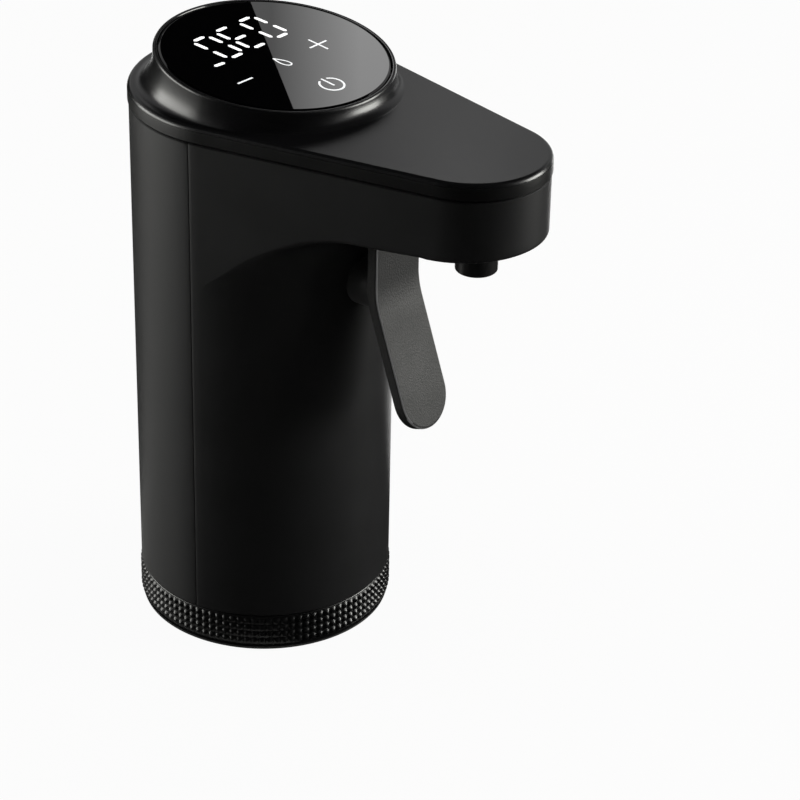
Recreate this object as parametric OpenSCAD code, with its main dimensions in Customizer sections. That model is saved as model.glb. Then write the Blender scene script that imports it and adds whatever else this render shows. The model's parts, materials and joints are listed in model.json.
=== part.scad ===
// Electric wine aerator with an air pump, a touch display and a trigger lever.
// Origin: centre of the bottle socket, at the plane the base stands on.
// +Z is up, +X points to the spout, and the body is alike on both sides of Y.
// Lengths are millimetres, angles are degrees.

/* [Body] */
// Outer radius of the round body
body_r = 30; // [29.5:0.25:33]
// Wall thickness of the moulded covers
wall = 2.2; // [1.8:0.1:2.6]
// Height of the covers' top edge above the table
cover_top = 128.7; // [126:0.1:136]
// Height of the covers' bottom edge above the table
cover_bottom = 9.5; // [9.3:0.1:11]
// Angle from the spout to each seam between front housing and rear cover
seam_angle = 82; // [78:1:86]
// Width of the seam between two covers
seam_gap = 0.2; // [0.1:0.05:0.4]

/* [Head] */
// Distance from the body axis to the centre of the head's round tip
tip_x = 58; // [54:0.5:64]
// Radius of the head's round tip
tip_r = 17.3; // [15:0.1:20]
// Depth of the head's side wall, measured at the tip's centre
head_depth = 15.05; // [14:0.05:18]
// Rise of the underside towards the tip, as a slope
under_slope = 0.063; // [0:0.001:0.08]
// Radius of the hollow fillet between body and underside
under_fillet = 19; // [16:0.5:20]

/* [Lid] */
// Height of the lid's rim band
lid_h = 4.1; // [3.6:0.1:5]
// How far the lid stands proud of the covers
lid_proud = 0.25; // [0:0.05:0.4]
// Radius of the rim's rounded top edge
lid_round = 1.1; // [0.6:0.1:1.4]
// Thickness of the lid's flat part
lid_wall = 2; // [1.6:0.1:2.4]
// Radius of the foot that carries the display, at the front
foot_reach = 34.5; // [33:0.1:36]

/* [Display] */
// Radius of the display glass
glass_r = 25.75; // [24.5:0.05:26]
// Thickness of the display glass
glass_t = 1.6; // [1.2:0.1:2]
// Distance of the glass centre from the body axis
glass_x = 3.5; // [2:0.1:4]
// Height of the glass centre above the lid's flat top
glass_up = 7; // [6.5:0.1:9]
// Tilt of the glass towards the spout
glass_tilt = 6.8; // [5:0.1:8]
// Width of the bezel ring around the glass
bezel_w = 0.7; // [0.5:0.05:1]
// Width of the lid's lip around the bezel
lip_w = 0.4; // [0.3:0.05:0.8]
// Radius of the opening under the glass
window_r = 24.2; // [23:0.1:24.3]

/* [Base] */
// Radius of the bottle socket, to suit a 30 mm bottle mouth
socket_r = 15; // [14.5:0.1:15.4]
// Depth of the bottle socket
socket_depth = 18; // [16:0.5:20]
// Wall thickness of the rubber seal
seal_wall = 1.5; // [1.2:0.1:1.8]
// Thickness of the base plate's rim
plate_rim = 0.7; // [0.6:0.1:0.9]
// Thickness of the base plate where it is screwed on
plate_t = 2.4; // [2.2:0.1:3]
// Number of base screws
screw_count = 4; // [3:1:6]

/* [Twist ring] */
// How far the knurl's tips stand out past the body
ring_proud = 0.25; // [-0.25:0.05:1]
// Thickness of the ring, from the hub it turns on to the knurl's tips
ring_wall = 6.35; // [6:0.05:6.8]
// Depth of the knurl
knurl_depth = 0.55; // [0.3:0.05:0.8]
// Number of knurl studs around the ring
knurl_count = 106; // [90:2:120]
// Number of knurl rows
knurl_rows = 4; // [3:1:5]
// Turn of the ring from open to locked, between the stops of its key
ring_turn = 60; // [40:5:80]

/* [Trigger] */
// Width of the trigger lever
lever_w = 15.6; // [13:0.1:17]
// Thickness of the trigger lever
lever_t = 2.8; // [2.4:0.1:3]
// Distance from the body axis to the lever's front face
lever_x = 39.2; // [38.8:0.1:40.5]
// Angle of the lever's lower part
lever_lean = 19.2; // [12:0.1:22]
// Length of the lever's lower part below the bend
lever_low = 29.2; // [22:0.2:32]
// Height of the lever's hinge pin below the covers' top edge
pivot_drop = 11.7; // [11.5:0.1:12.4]
// Radius of the hinge pin
pin_r = 1.5; // [1.2:0.1:1.7]
// Travel of the lever towards the body
lever_travel = 7; // [5:0.5:7]
// Radius of the push button behind the lever
button_r = 6.1; // [5.5:0.1:6.2]

/* [Nozzle] */
// Distance from the body axis to the nozzle
nozzle_x = 60.4; // [57:0.2:64]
// Radius of the nozzle
nozzle_r = 4.7; // [4.3:0.1:5.2]
// How far the nozzle hangs below the head
nozzle_drop = 8.4; // [6:0.1:10]
// Radius of the nozzle's outlet
outlet_r = 2.25; // [1.8:0.05:2.6]

/* [Wine path] */
// Outer radius of the riser pipe
riser_r = 6; // [5.8:0.1:6.2]
// Wall thickness of the riser and of each intake tube
tube_wall = 0.8; // [0.7:0.05:0.9]
// Sliding clearance between two intake tubes
tube_gap = 0.05; // [0.03:0.01:0.08]
// Outer radius of the wine hose
hose_r = 3.1; // [2.8:0.1:3.1]
// Bore radius of the wine hose
hose_bore = 2.05; // [1.8:0.05:2.2]

/* [Drive] */
// Length of the pump motor
motor_len = 23.5; // [20:0.5:26]
// Outer radius of the air hose
air_hose_r = 2.5; // [2.2:0.1:2.6]
// Bore radius of the air hose
air_bore = 1.5; // [1.3:0.1:1.6]

/* [Hidden] */

$fn = 72;
eps = 0.01;
// Clearance of a part that turns or slides on another
run = 0.06;
// Clearance between two pieces that only lie side by side
fit = 0.2;
far = 200;

lid_bottom = cover_top + seam_gap;
lid_top = cover_top + lid_h;
inner_r = body_r - wall;
frame_r = inner_r - fit;

// Underside of the head: a slope carried round the body axis, with a hollow fillet
under_tip = cover_top - head_depth;
function under_z(rho) = under_tip + under_slope * (rho - tip_x);
fillet_rho = body_r + under_fillet;
slope_deg = atan(under_slope);
fillet_z = under_z(fillet_rho + under_fillet * sin(slope_deg)) - under_fillet * cos(slope_deg);
fillet_steps = 14;

// Glass frame
glass_z = lid_top + glass_up;
bezel_r = glass_r + fit / 2 + bezel_w;
pocket_r = bezel_r + 0.05;
lip_r = pocket_r + lip_w;
lip_drop = 0.05;

// Base stack
ring_r = body_r + ring_proud;
hub_r = ring_r - ring_wall;
ring_bottom = plate_rim + 0.15;
ring_top = cover_bottom - fit;
seal_r = socket_r + seal_wall;
socket_roof = socket_depth + 2;
deck_z = socket_roof + 4.2;
deck_t = 2.5;
deck_top = deck_z + deck_t;
screw_pcr = (seal_r + hub_r) / 2;
screw_head_r = 2.2;
screw_r = 1.2;
key_deg = 6;
key_deep = 1.2;
key_top = cover_bottom - 2.5;

// Heights of the inner frame, set by the covers' top edge
tube_bottom = socket_roof + 3.5;
riser_top = cover_top - 17.2;
tube_len = riser_top - 4 - tube_bottom;
upper_deck = riser_top - 9.5;

// Trigger
pivot_x = lever_x - lever_t / 2;
pivot_z = cover_top - pivot_drop;
hub_eye_r = 3.3;
bend_r = 20;
bend_len = bend_r * tan(lever_lean / 2);
button_z = upper_deck - 8.6;
lever_bend_z = button_z - 0.5;
bend_cx = lever_x + bend_r;
bend_cz = lever_bend_z + bend_len;
ear_t = 2.5;
button_tip = lever_x - lever_t - 0.12;
button_flange = inner_r - 0.9;
flange_t = 1.3;
flange_r = button_r + 0.45;
switch_front = 19;
switch_depth = 6.5;
stem_r = 1.6;

// Nozzle
nozzle_bottom = under_z(nozzle_x) - nozzle_drop;
nozzle_seat = under_z(nozzle_x + tip_r) + wall + 0.6;
nozzle_top = nozzle_seat + 1.6;
insert_r = hose_r + 0.3;
insert_bottom = nozzle_bottom + 3;

// Wine path
riser_bore = riser_r - tube_wall;
upper_r = riser_bore - tube_gap;
middle_r = upper_r - tube_wall - tube_gap;
lower_r = middle_r - tube_wall - tube_gap;
hose_z = cover_top - 4.3;
hose_bend = 6;
insert_top = hose_z - hose_bend - 4.2;
elbow_top = riser_top + 3;

// Drive: each place is a radius and an angle, brought to a 0.05 mm grid
cup_wall = 1;
motor_r = (frame_r - cup_wall - riser_r - 0.6) / 2;
cell_r = motor_r - 0.8;
cell_len = upper_deck - deck_top - 10.3;
cell_pos = [riser_r + 0.3 + cell_r, 130];
motor_pos = [riser_r + 0.6 + motor_r, -130];
cell_cup = 34;
motor_cup = 16;
riser_cup = 9;
function snap(v) = round(v * 20) / 20;
cell_x = snap(cell_pos[0] * cos(cell_pos[1]));
cell_y = snap(cell_pos[0] * sin(cell_pos[1]));
motor_x = snap(motor_pos[0] * cos(motor_pos[1]));
motor_y = snap(motor_pos[0] * sin(motor_pos[1]));
motor_top = deck_top + motor_len;
crank_room = 10;
frame_top = motor_top + crank_room + 1.5;
cap_top = frame_top + 6;
barb_r = air_bore - 0.05;
air_turn_r = (motor_r + 4) / 2;
air_top = cap_top + 9;
air_x = motor_x + 2 * air_turn_r;
valve_z = deck_top + 24;
valve_len = 12;
board_x = -(inner_r - 3.4);
board_w = 23;
board_top = upper_deck - 6;
port_z = deck_top + 4.5;

black = [0.06, 0.06, 0.065];
gloss = [0.02, 0.02, 0.025];
steel = [0.72, 0.72, 0.74];
rubber = [0.14, 0.14, 0.15];
clear_hose = [0.8, 0.82, 0.84];
board_green = [0.05, 0.22, 0.12];

function polar(r, a) = [r * cos(a), r * sin(a)];
function arc(c, r, a0, a1, n) = [for (i = [0:n]) c + polar(r, a0 + (a1 - a0) * i / n)];

// Outline of the head seen from above: the body circle drawn out to the tip
tangent_deg = asin((body_r - tip_r) / tip_x);

module head_flank(inset) {
    n = [sin(tangent_deg), cos(tangent_deg)];
    big = (body_r - inset) * n;
    small = [tip_x, 0] + (tip_r - inset) * n;
    polygon([[0, 0], [big[0], -big[1]], [small[0], -small[1]], [tip_x, 0],
        [small[0], small[1]], [big[0], big[1]]]);
    translate([tip_x, 0])
        circle(r = tip_r - inset);
}

module head_outline(inset) {
    circle(r = body_r - inset);
    head_flank(inset);
}

// Everything below the head's underside, moved up by lift for the inner face
module under_room(lift) {
    r = under_fillet + lift;
    rotate_extrude($fn = 96)
        polygon(concat(
            [[body_r - wall - 8, 0], [body_r - wall - 8, fillet_z]],
            arc([fillet_rho, fillet_z], r, 180, 90 + slope_deg, fillet_steps),
            [[far / 2, under_z(far / 2) + lift / cos(slope_deg)], [far / 2, 0]]
        ));
}

module head_block(inset, top, lift) {
    difference() {
        translate([0, 0, fillet_z - 10])
            linear_extrude(top - fillet_z + 10)
                head_flank(inset);
        under_room(lift);
    }
}

// Prism over the half of the plan that lies within an angle of the spout
module front_sector(a, z0, z1) {
    translate([0, 0, z0])
        linear_extrude(z1 - z0)
            polygon([[0, 0], polar(far, -a), [far, -far], [far, far], polar(far, a)]);
}

module tube(r_out, r_in, h) {
    difference() {
        cylinder(r = r_out, h = h);
        translate([0, 0, -eps])
            cylinder(r = r_in, h = h + 2 * eps);
    }
}

module along_x(x, z) {
    translate([x, 0, z])
        rotate([0, 90, 0])
            children();
}

module glass_frame(z) {
    translate([glass_x, 0, glass_z])
        rotate([0, glass_tilt, 0])
            translate([0, 0, z])
                children();
}

// Covers

module front_housing() {
    color(black)
    difference() {
        union() {
            intersection() {
                difference() {
                    union() {
                        translate([0, 0, cover_bottom])
                            cylinder(r = body_r, h = cover_top - cover_bottom);
                        head_block(0, cover_top, 0);
                    }
                    translate([0, 0, cover_bottom - 1])
                        cylinder(r = inner_r, h = cover_top);
                    head_block(wall, cover_top + 1, wall);
                }
                front_sector(seam_angle, cover_bottom - 1, cover_top + 1);
            }
            switch_ribs();
            hinge_ears();
            nozzle_collar();
        }
        along_x(inner_r - 5, button_z)
            cylinder(r = button_r + run, h = 20);
        lever_slot();
        translate([nozzle_x, 0, nozzle_bottom])
            cylinder(r = nozzle_r + run, h = 30);
    }
}

module switch_ribs() {
    for (side = [-1, 1])
        translate([switch_front - switch_depth, side * 7.4 - 0.8, button_z - 3.2])
            cube([inner_r - switch_front + switch_depth - 0.3, 1.6, 6.4]);
}

module hinge_ears() {
    difference() {
        for (side = [-1, 1])
            translate([pivot_x, side * (lever_w / 2 + 0.3 + ear_t / 2), 0])
                rotate([90, 0, 0])
                    linear_extrude(ear_t, center = true) {
                        translate([0, pivot_z])
                            circle(r = 3.6);
                        translate([-3.6, pivot_z - 16])
                            square([7.2, 16]);
                    }
        under_room(wall / 2);
        translate([pivot_x, 0, pivot_z])
            rotate([90, 0, 0])
                cylinder(r = pin_r + 0.02, h = 60, center = true);
    }
}

module lever_slot() {
    swing = (pivot_z - under_z(pivot_x) + 6) * tan(lever_travel) + 0.1;
    translate([lever_x - lever_t - swing, -lever_w / 2 - 0.3, pivot_z - 16])
        cube([lever_t + swing + 0.4, lever_w + 0.6, 16 - hub_eye_r]);
}

module nozzle_collar() {
    difference() {
        translate([nozzle_x, 0, nozzle_bottom])
            cylinder(r = 7.5, h = nozzle_seat - nozzle_bottom);
        under_room(wall / 2);
    }
}

module rear_cover() {
    color(black)
    difference() {
        union() {
            difference() {
                translate([0, 0, cover_bottom])
                    tube(body_r, inner_r, cover_top - cover_bottom);
                front_sector(seam_angle + seam_gap / body_r * 180 / PI, 0, far);
            }
            seam_tongues();
        }
        charging_slot();
    }
}

// Strips behind both seams that centre the rear cover in the front housing
module seam_tongues() {
    for (side = [-1, 1])
        difference() {
            translate([0, 0, deck_top + 1])
                tube(inner_r + 0.5, inner_r - fit - 1.4, cover_top - deck_top - 6);
            front_sector(seam_angle - 5, 0, far);
            rotate([0, 0, 180])
                front_sector(180 - seam_angle - 5, 0, far);
            intersection() {
                front_sector(seam_angle + 0.6, 0, far);
                translate([0, 0, -1])
                    tube(inner_r + 2, inner_r - fit, far);
            }
            translate([-far, side > 0 ? -far : 0, 0])
                cube([2 * far, far, far]);
        }
}

module charging_slot() {
    translate([-body_r - 1, 0, port_z])
        rotate([0, 90, 0])
            linear_extrude(wall + 2) {
                square([3.6, 5.4], center = true);
                for (side = [-1, 1])
                    translate([0, side * 2.9])
                        circle(r = 1.8);
            }
}

// Lid

function mix(a, b, t) = a + (b - a) * t;

// Points round the head's outline, dense round the tip and even in between
function plan_point(i, inset) =
    let (a = 90 - tangent_deg, n = [sin(tangent_deg), cos(tangent_deg)],
        big = (body_r + lid_proud - inset) * n,
        small = [tip_x, 0] + (tip_r + lid_proud - inset) * n)
    i <= 18 ? [tip_x, 0] + polar(tip_r + lid_proud - inset, -a + 2 * a * i / 18)
    : i <= 32 ? mix(small, big, (i - 18) / 14)
    : i <= 72 ? polar(body_r + lid_proud - inset, a + (360 - 2 * a) * (i - 32) / 40)
    : let (p = mix(small, big, (86 - i) / 14)) [p[0], -p[1]];
plan_count = 86;
function plan_ring(inset, z) = [for (i = [0:plan_count - 1]) concat(plan_point(i, inset), [z])];

// Foot of the display: a circle held inside the rounded rim
function foot_point(i) =
    let (p = plan_point(i, lid_round + 0.4), a = atan2(p[1], p[0]),
        front = (foot_reach - body_r) * pow(max(cos(a), 0), 2),
        r = body_r - lid_round - 0.3 + front)
    polar(min(r, norm(p)), a);
function seat_point(i) =
    let (f = foot_point(i), a = atan2(f[1], f[0] - glass_x),
        x = lip_r * cos(a), z = -lip_drop)
    [glass_x + x * cos(glass_tilt) + z * sin(glass_tilt), lip_r * sin(a),
        glass_z - x * sin(glass_tilt) + z * cos(glass_tilt)];
flare_steps = 8;
function flare_ring(s) = [for (i = [0:plan_count - 1])
    let (f = foot_point(i), b = seat_point(i), in = sin(90 * s), up = 1 - cos(90 * s))
    [mix(f[0], b[0], in), mix(f[1], b[1], in), mix(lid_top, b[2], up)]];

round_steps = 3;
lid_rings = concat(
    [plan_ring(0.25, lid_bottom), plan_ring(0, lid_bottom + 0.3)],
    [for (s = [0:round_steps])
        plan_ring(lid_round * (1 - cos(90 * s / round_steps)),
            lid_top - lid_round + lid_round * sin(90 * s / round_steps))],
    [for (s = [0:flare_steps]) flare_ring(s / flare_steps)]
);

// Closed solid between rings of equal count, capped by fans at both ends
module loft(rings) {
    n = len(rings[0]);
    m = len(rings);
    function centre(r) = [for (k = [0:2]) [for (p = r) p[k]] * [for (p = r) 1] / n];
    polyhedron(
        concat([for (r = rings) each r], [centre(rings[0]), centre(rings[m - 1])]),
        concat(
            [for (j = [0:m - 2]) for (i = [0:n - 1])
                let (k = (i + 1) % n) each [
                    [j * n + i, (j + 1) * n + i, (j + 1) * n + k],
                    [j * n + i, (j + 1) * n + k, j * n + k]]],
            [for (i = [0:n - 1]) [m * n, i, (i + 1) % n]],
            [for (i = [0:n - 1]) [m * n + 1, (m - 1) * n + (i + 1) % n, (m - 1) * n + i]]
        )
    );
}

module top_cover() {
    color(black)
    difference() {
        union() {
            difference() {
                loft(lid_rings);
                translate([0, 0, lid_bottom - 1])
                    linear_extrude(lid_top - lid_wall - lid_bottom + 1)
                        head_outline(wall);
            }
            translate([0, 0, lid_bottom - 2.6])
                linear_extrude(lid_top - lid_wall - lid_bottom + 2.6 + 0.2)
                    difference() {
                        head_outline(wall + fit);
                        head_outline(wall + fit + 1.3);
                    }
        }
        glass_frame(-40)
            cylinder(r = window_r, h = 60);
        glass_frame(-glass_t)
            cylinder(r = pocket_r, h = 10);
    }
}

module display_bezel() {
    color(gloss)
    glass_frame(-glass_t)
        difference() {
            union() {
                cylinder(r = bezel_r, h = glass_t - 0.3);
                translate([0, 0, glass_t - 0.3])
                    cylinder(r1 = bezel_r, r2 = bezel_r - 0.2, h = 0.2);
            }
            translate([0, 0, -1])
                cylinder(r = glass_r + fit / 2, h = glass_t + 2);
        }
}

module display_glass() {
    color(gloss)
    glass_frame(-glass_t)
        union() {
            cylinder(r = glass_r, h = glass_t - 0.3);
            translate([0, 0, glass_t - 0.3])
                cylinder(r1 = glass_r, r2 = glass_r - 0.3, h = 0.3);
        }
}

module display_board() {
    color(board_green)
    glass_frame(-glass_t - 3.4)
        difference() {
            cylinder(r = window_r - fit, h = 1.2);
            for (a = [45:90:315])
                rotate([0, 0, a])
                    translate([window_r - 2.6, 0, -1])
                        cylinder(r = 1, h = 4);
        }
}

module digit_module() {
    color([0.9, 0.9, 0.88])
    glass_frame(-glass_t - 2.2)
        translate([-0.33 * window_r, 0, 1])
            cube([0.66 * window_r, 1.24 * window_r, 2], center = true);
}

// Base

module screw_places() {
    for (i = [0:screw_count - 1])
        rotate([0, 0, 45 + 360 * i / screw_count])
            translate([screw_pcr, 0, 0])
                children();
}

module base_plate() {
    color(black)
    difference() {
        union() {
            cylinder(r1 = body_r - 0.3, r2 = body_r - 0.1, h = plate_rim);
            cylinder(r = hub_r - 0.3, h = plate_t);
        }
        translate([0, 0, -1])
            cylinder(r = seal_r + run, h = plate_t + 2);
        screw_places() {
            translate([0, 0, -1])
                cylinder(r = screw_r + fit, h = plate_t + 2);
            translate([0, 0, -1])
                cylinder(r = screw_head_r + fit, h = 1 + 1.4);
        }
    }
}

module base_screws() {
    color(steel)
    screw_places()
        difference() {
            union() {
                translate([0, 0, 0.3])
                    cylinder(r = screw_head_r, h = 1.1);
                translate([0, 0, 1.4])
                    cylinder(r = screw_r, h = 8);
            }
            for (a = [0, 90])
                rotate([0, 0, a])
                    translate([-0.6 * screw_head_r, -0.25, 0])
                        cube([1.2 * screw_head_r, 0.5, 0.9]);
        }
}

// Sector of a ring, used for the twist ring's key and for the slot it runs in
module ring_sector(r_in, r_out, z0, z1, a0, a1) {
    translate([0, 0, z0])
        rotate([0, 0, a0])
            rotate_extrude(angle = a1 - a0)
                translate([r_in, 0])
                    square([r_out - r_in, z1 - z0]);
}

module neck_socket() {
    color(black)
    difference() {
        union() {
            translate([0, 0, plate_t])
                cylinder(r = hub_r, h = cover_bottom - plate_t + 0.3);
            translate([0, 0, cover_bottom + 0.2])
                cylinder(r = frame_r, h = deck_z - cover_bottom - 0.2);
            translate([air_x, motor_y, deck_z - 1])
                cylinder(r = barb_r, h = deck_t + 7);
        }
        translate([0, 0, -1])
            cylinder(r = seal_r + run, h = socket_roof + 1);
        translate([0, 0, socket_roof - 1])
            cylinder(r = riser_r + run, h = far);
        translate([air_x, motor_y, socket_roof - 1])
            cylinder(r = barb_r - 0.7, h = far);
        ring_sector(hub_r - key_deep - fit, hub_r + 1, plate_t - 1, key_top + fit,
            180 - key_deg / 2 - 1, 180 + key_deg / 2 + ring_turn + 1);
        screw_places()
            translate([0, 0, plate_t - 1])
                cylinder(r = screw_r + 0.02, h = 9);
        // Coring between the socket and the outer wall, open to the deck
        for (a = [0:45:315])
            rotate([0, 0, a + 22.5])
                translate([(seal_r + frame_r) / 2 + 0.4, 0, cover_bottom + 3])
                    cylinder(r = (frame_r - seal_r) / 2 - 2.2, h = deck_z);
    }
}

// Closed ring whose outer face carries pyramid studs in a square grid
function stud_row(k) = ring_bottom + 0.45 + (ring_top - ring_bottom - 1.1) * k / (2 * knurl_rows);
function stud_radius(i, k) = (i % 2 == 1 && k % 2 == 1) ? ring_r : ring_r - knurl_depth;
function stud_ring(k) = [for (i = [0:2 * knurl_count - 1])
    concat(polar(stud_radius(i, k), 180 * i / knurl_count), [stud_row(k)])];

module knurled_blank() {
    n = 2 * knurl_count;
    rows = concat(
        [[for (i = [0:n - 1]) concat(polar(ring_r - knurl_depth - 0.1, 180 * i / knurl_count),
            [ring_bottom])]],
        [for (k = [0:2 * knurl_rows]) stud_ring(k)],
        [[for (i = [0:n - 1]) concat(polar(ring_r - knurl_depth, 180 * i / knurl_count),
            [ring_top - 0.45])]],
        [[for (i = [0:n - 1]) concat(polar(body_r - 0.7, 180 * i / knurl_count), [ring_top])]]
    );
    m = len(rows);
    polyhedron(
        concat([for (r = rows) each r], [[0, 0, ring_bottom], [0, 0, ring_top]]),
        concat(
            [for (j = [0:m - 2]) for (i = [0:n - 1])
                let (k = (i + 1) % n, a = j * n + i, b = j * n + k, c = a + n, d = b + n)
                each ((i + j) % 2 == 1 ? [[a, c, d], [a, d, b]] : [[a, c, b], [b, c, d]])],
            [for (i = [0:n - 1]) [m * n, i, (i + 1) % n]],
            [for (i = [0:n - 1]) [m * n + 1, (m - 1) * n + (i + 1) % n, (m - 1) * n + i]]
        )
    );
}

module twist_ring() {
    color(gloss)
    union() {
        difference() {
            knurled_blank();
            translate([0, 0, ring_bottom - 1])
                cylinder(r = hub_r + run, h = ring_top - ring_bottom + 2);
        }
        ring_sector(hub_r - key_deep, hub_r + 1, plate_t + fit, key_top,
            180 - key_deg / 2, 180 + key_deg / 2);
    }
}

module bottle_seal() {
    color(rubber)
    tube(seal_r, socket_r, socket_depth);
}

module lip_gasket() {
    color(rubber)
    translate([0, 0, socket_depth])
        tube(seal_r, 9.6, socket_roof - socket_depth);
}

// Inner frame

module chassis_frame() {
    color([0.12, 0.12, 0.13])
    difference() {
        union() {
            translate([0, 0, deck_z])
                cylinder(r = frame_r, h = deck_t);
            translate([0, 0, upper_deck])
                cylinder(r = frame_r - 1.6, h = deck_t);
            for (side = [-1, 1])
                translate([9, side * 17 - 1.5, deck_top - 1])
                    cube([7, 3, upper_deck - deck_top + 2]);
            translate([cell_x, cell_y, deck_top - 1])
                cylinder(r = cell_r + 1.2, h = cell_cup + 1);
            translate([motor_x, motor_y, deck_top - 1])
                cylinder(r = motor_r + cup_wall, h = motor_cup + 1);
            translate([0, 0, deck_top - 1])
                cylinder(r = riser_r + 2, h = riser_cup + 1);
        }
        translate([0, 0, deck_z - 1])
            cylinder(r = riser_r + run, h = far);
        translate([cell_x, cell_y, deck_top])
            cylinder(r = cell_r + 0.1, h = upper_deck - deck_top - 4);
        translate([motor_x, motor_y, deck_top])
            cylinder(r = motor_r + 0.1, h = upper_deck - deck_top - 4);
        translate([air_x, motor_y, deck_z - 1])
            cylinder(r = air_hose_r + 0.3, h = far);
        translate([0, 0, deck_z - 1])
            difference() {
                cylinder(r = 60, h = far);
                translate([0, 0, -1])
                    cylinder(r = frame_r, h = far + 2);
            }
        // Openings of the upper deck for the wires and the wine hose
        translate([-frame_r, -6, upper_deck - 1])
            cube([12, 12, deck_t + 2]);
    }
}

module riser_pipe() {
    color([0.8, 0.8, 0.82])
    translate([0, 0, socket_roof + 0.5])
        tube(riser_r, riser_bore, riser_top - socket_roof - 0.5);
}

module intake_tube_upper() {
    color(steel)
    translate([0, 0, tube_bottom])
        tube(upper_r, upper_r - tube_wall, tube_len);
}

module intake_tube_middle() {
    color(steel)
    translate([0, 0, tube_bottom])
        tube(middle_r, middle_r - tube_wall, tube_len);
}

module intake_tube_lower() {
    color(steel)
    translate([0, 0, tube_bottom])
        tube(lower_r, lower_r - tube_wall, tube_len);
}

module intake_strainer() {
    color(rubber)
    difference() {
        translate([0, 0, tube_bottom - 5])
            cylinder(r = upper_r - 0.5, h = 4.95);
        translate([0, 0, tube_bottom - 4])
            cylinder(r = lower_r - tube_wall, h = 5);
        for (a = [0:60:300])
            rotate([0, 0, a])
                translate([0, -0.5, tube_bottom - 6])
                    cube([upper_r, 1, 3]);
    }
}

module riser_elbow() {
    color(gloss)
    difference() {
        union() {
            translate([0, 0, riser_top - 6])
                cylinder(r = riser_r + 1.2, h = elbow_top - riser_top + 6);
            translate([0, 0, elbow_top - 0.5])
                cylinder(r = hose_bore - 0.05, h = 4.5);
        }
        translate([0, 0, riser_top - 7])
            cylinder(r = riser_r + 0.03, h = 7);
        translate([0, 0, riser_top - 1])
            cylinder(r = 1.3, h = 20);
    }
}

module bend(r, pipe_r, bore_r, a) {
    rotate_extrude(angle = a, $fn = 48)
        translate([r, 0])
            difference() {
                circle(r = pipe_r, $fn = 24);
                circle(r = bore_r, $fn = 24);
            }
}

module wine_hose() {
    color(clear_hose)
    union() {
        translate([0, 0, elbow_top])
            tube(hose_r, hose_bore, hose_z - hose_bend - elbow_top, $fn = 24);
        translate([hose_bend, 0, hose_z - hose_bend])
            rotate([90, 0, 180])
                bend(hose_bend, hose_r, hose_bore, 90);
        along_x(hose_bend, hose_z)
            tube(hose_r, hose_bore, nozzle_x - 2 * hose_bend, $fn = 24);
        translate([nozzle_x - hose_bend, 0, hose_z - hose_bend])
            rotate([90, 0, 0])
                bend(hose_bend, hose_r, hose_bore, 90);
        translate([nozzle_x, 0, insert_top + 0.2])
            tube(hose_r, hose_bore, hose_z - hose_bend - insert_top - 0.2, $fn = 24);
    }
}

module nozzle() {
    color(gloss)
    translate([nozzle_x, 0, 0])
        difference() {
            union() {
                translate([0, 0, nozzle_bottom + 0.5])
                    cylinder(r = nozzle_r, h = nozzle_top - nozzle_bottom - 0.5);
                translate([0, 0, nozzle_bottom])
                    cylinder(r1 = nozzle_r - 0.5, r2 = nozzle_r, h = 0.5);
                translate([0, 0, nozzle_seat])
                    cylinder(r = 6.4, h = nozzle_top - nozzle_seat);
            }
            translate([0, 0, nozzle_bottom - 1])
                cylinder(r = outlet_r, h = 40);
            translate([0, 0, insert_bottom])
                cylinder(r = insert_r, h = 40);
        }
}

module aerator_insert() {
    color([0.85, 0.85, 0.87])
    translate([nozzle_x, 0, 0])
        difference() {
            union() {
                translate([0, 0, insert_bottom])
                    cylinder(r = insert_r - 0.05, h = insert_top - insert_bottom);
                translate([0, 0, insert_top - 1])
                    cylinder(r = hose_bore - 0.05, h = 4.4);
            }
            translate([0, 0, insert_bottom + 2])
                cylinder(r = 1.3, h = 40);
            for (a = [0:60:300])
                rotate([0, 0, a])
                    translate([1.8, 0, insert_bottom - 1])
                        cylinder(r = 0.5, h = 4.5);
        }
}

// Trigger

function lever_side(off) = concat(
    [[lever_x - off, pivot_z]],
    arc([bend_cx, bend_cz], bend_r + off, 180, 180 + lever_lean, 6),
    [[bend_cx, bend_cz] + polar(bend_r + off, 180 + lever_lean)
        + lever_low * [sin(lever_lean), -cos(lever_lean)]]
);

// Front view of the lever, with its round lower end, set square to its lower part
module lever_outline() {
    low_start = [bend_cx, bend_cz] + polar(bend_r, 180 + lever_lean);
    end_r = lever_w / 2;
    translate([low_start[0], 0, low_start[1]])
        rotate([0, 90 - lever_lean, 0])
            linear_extrude(40, center = true) {
                translate([lever_low - end_r, 0])
                    circle(r = end_r);
                translate([lever_low - end_r - 80, -end_r])
                    square([80, 2 * end_r]);
            }
}

module trigger_lever() {
    front = lever_side(0);
    back = lever_side(lever_t);
    color(black)
    difference() {
        intersection() {
            union() {
                rotate([90, 0, 0])
                    linear_extrude(lever_w + 2, center = true)
                        polygon(concat(front, [for (i = [len(back) - 1:-1:0]) back[i]]));
                translate([pivot_x, 0, pivot_z])
                    rotate([90, 0, 0])
                        cylinder(r = hub_eye_r, h = lever_w + 2, center = true);
            }
            lever_outline();
        }
        translate([pivot_x, 0, pivot_z])
            rotate([90, 0, 0])
                cylinder(r = pin_r + run, h = lever_w + 4, center = true);
    }
}

module trigger_pin() {
    color(steel)
    translate([pivot_x, 0, pivot_z])
        rotate([90, 0, 0])
            cylinder(r = pin_r, h = lever_w + 2 * ear_t + 0.4, center = true);
}

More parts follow.
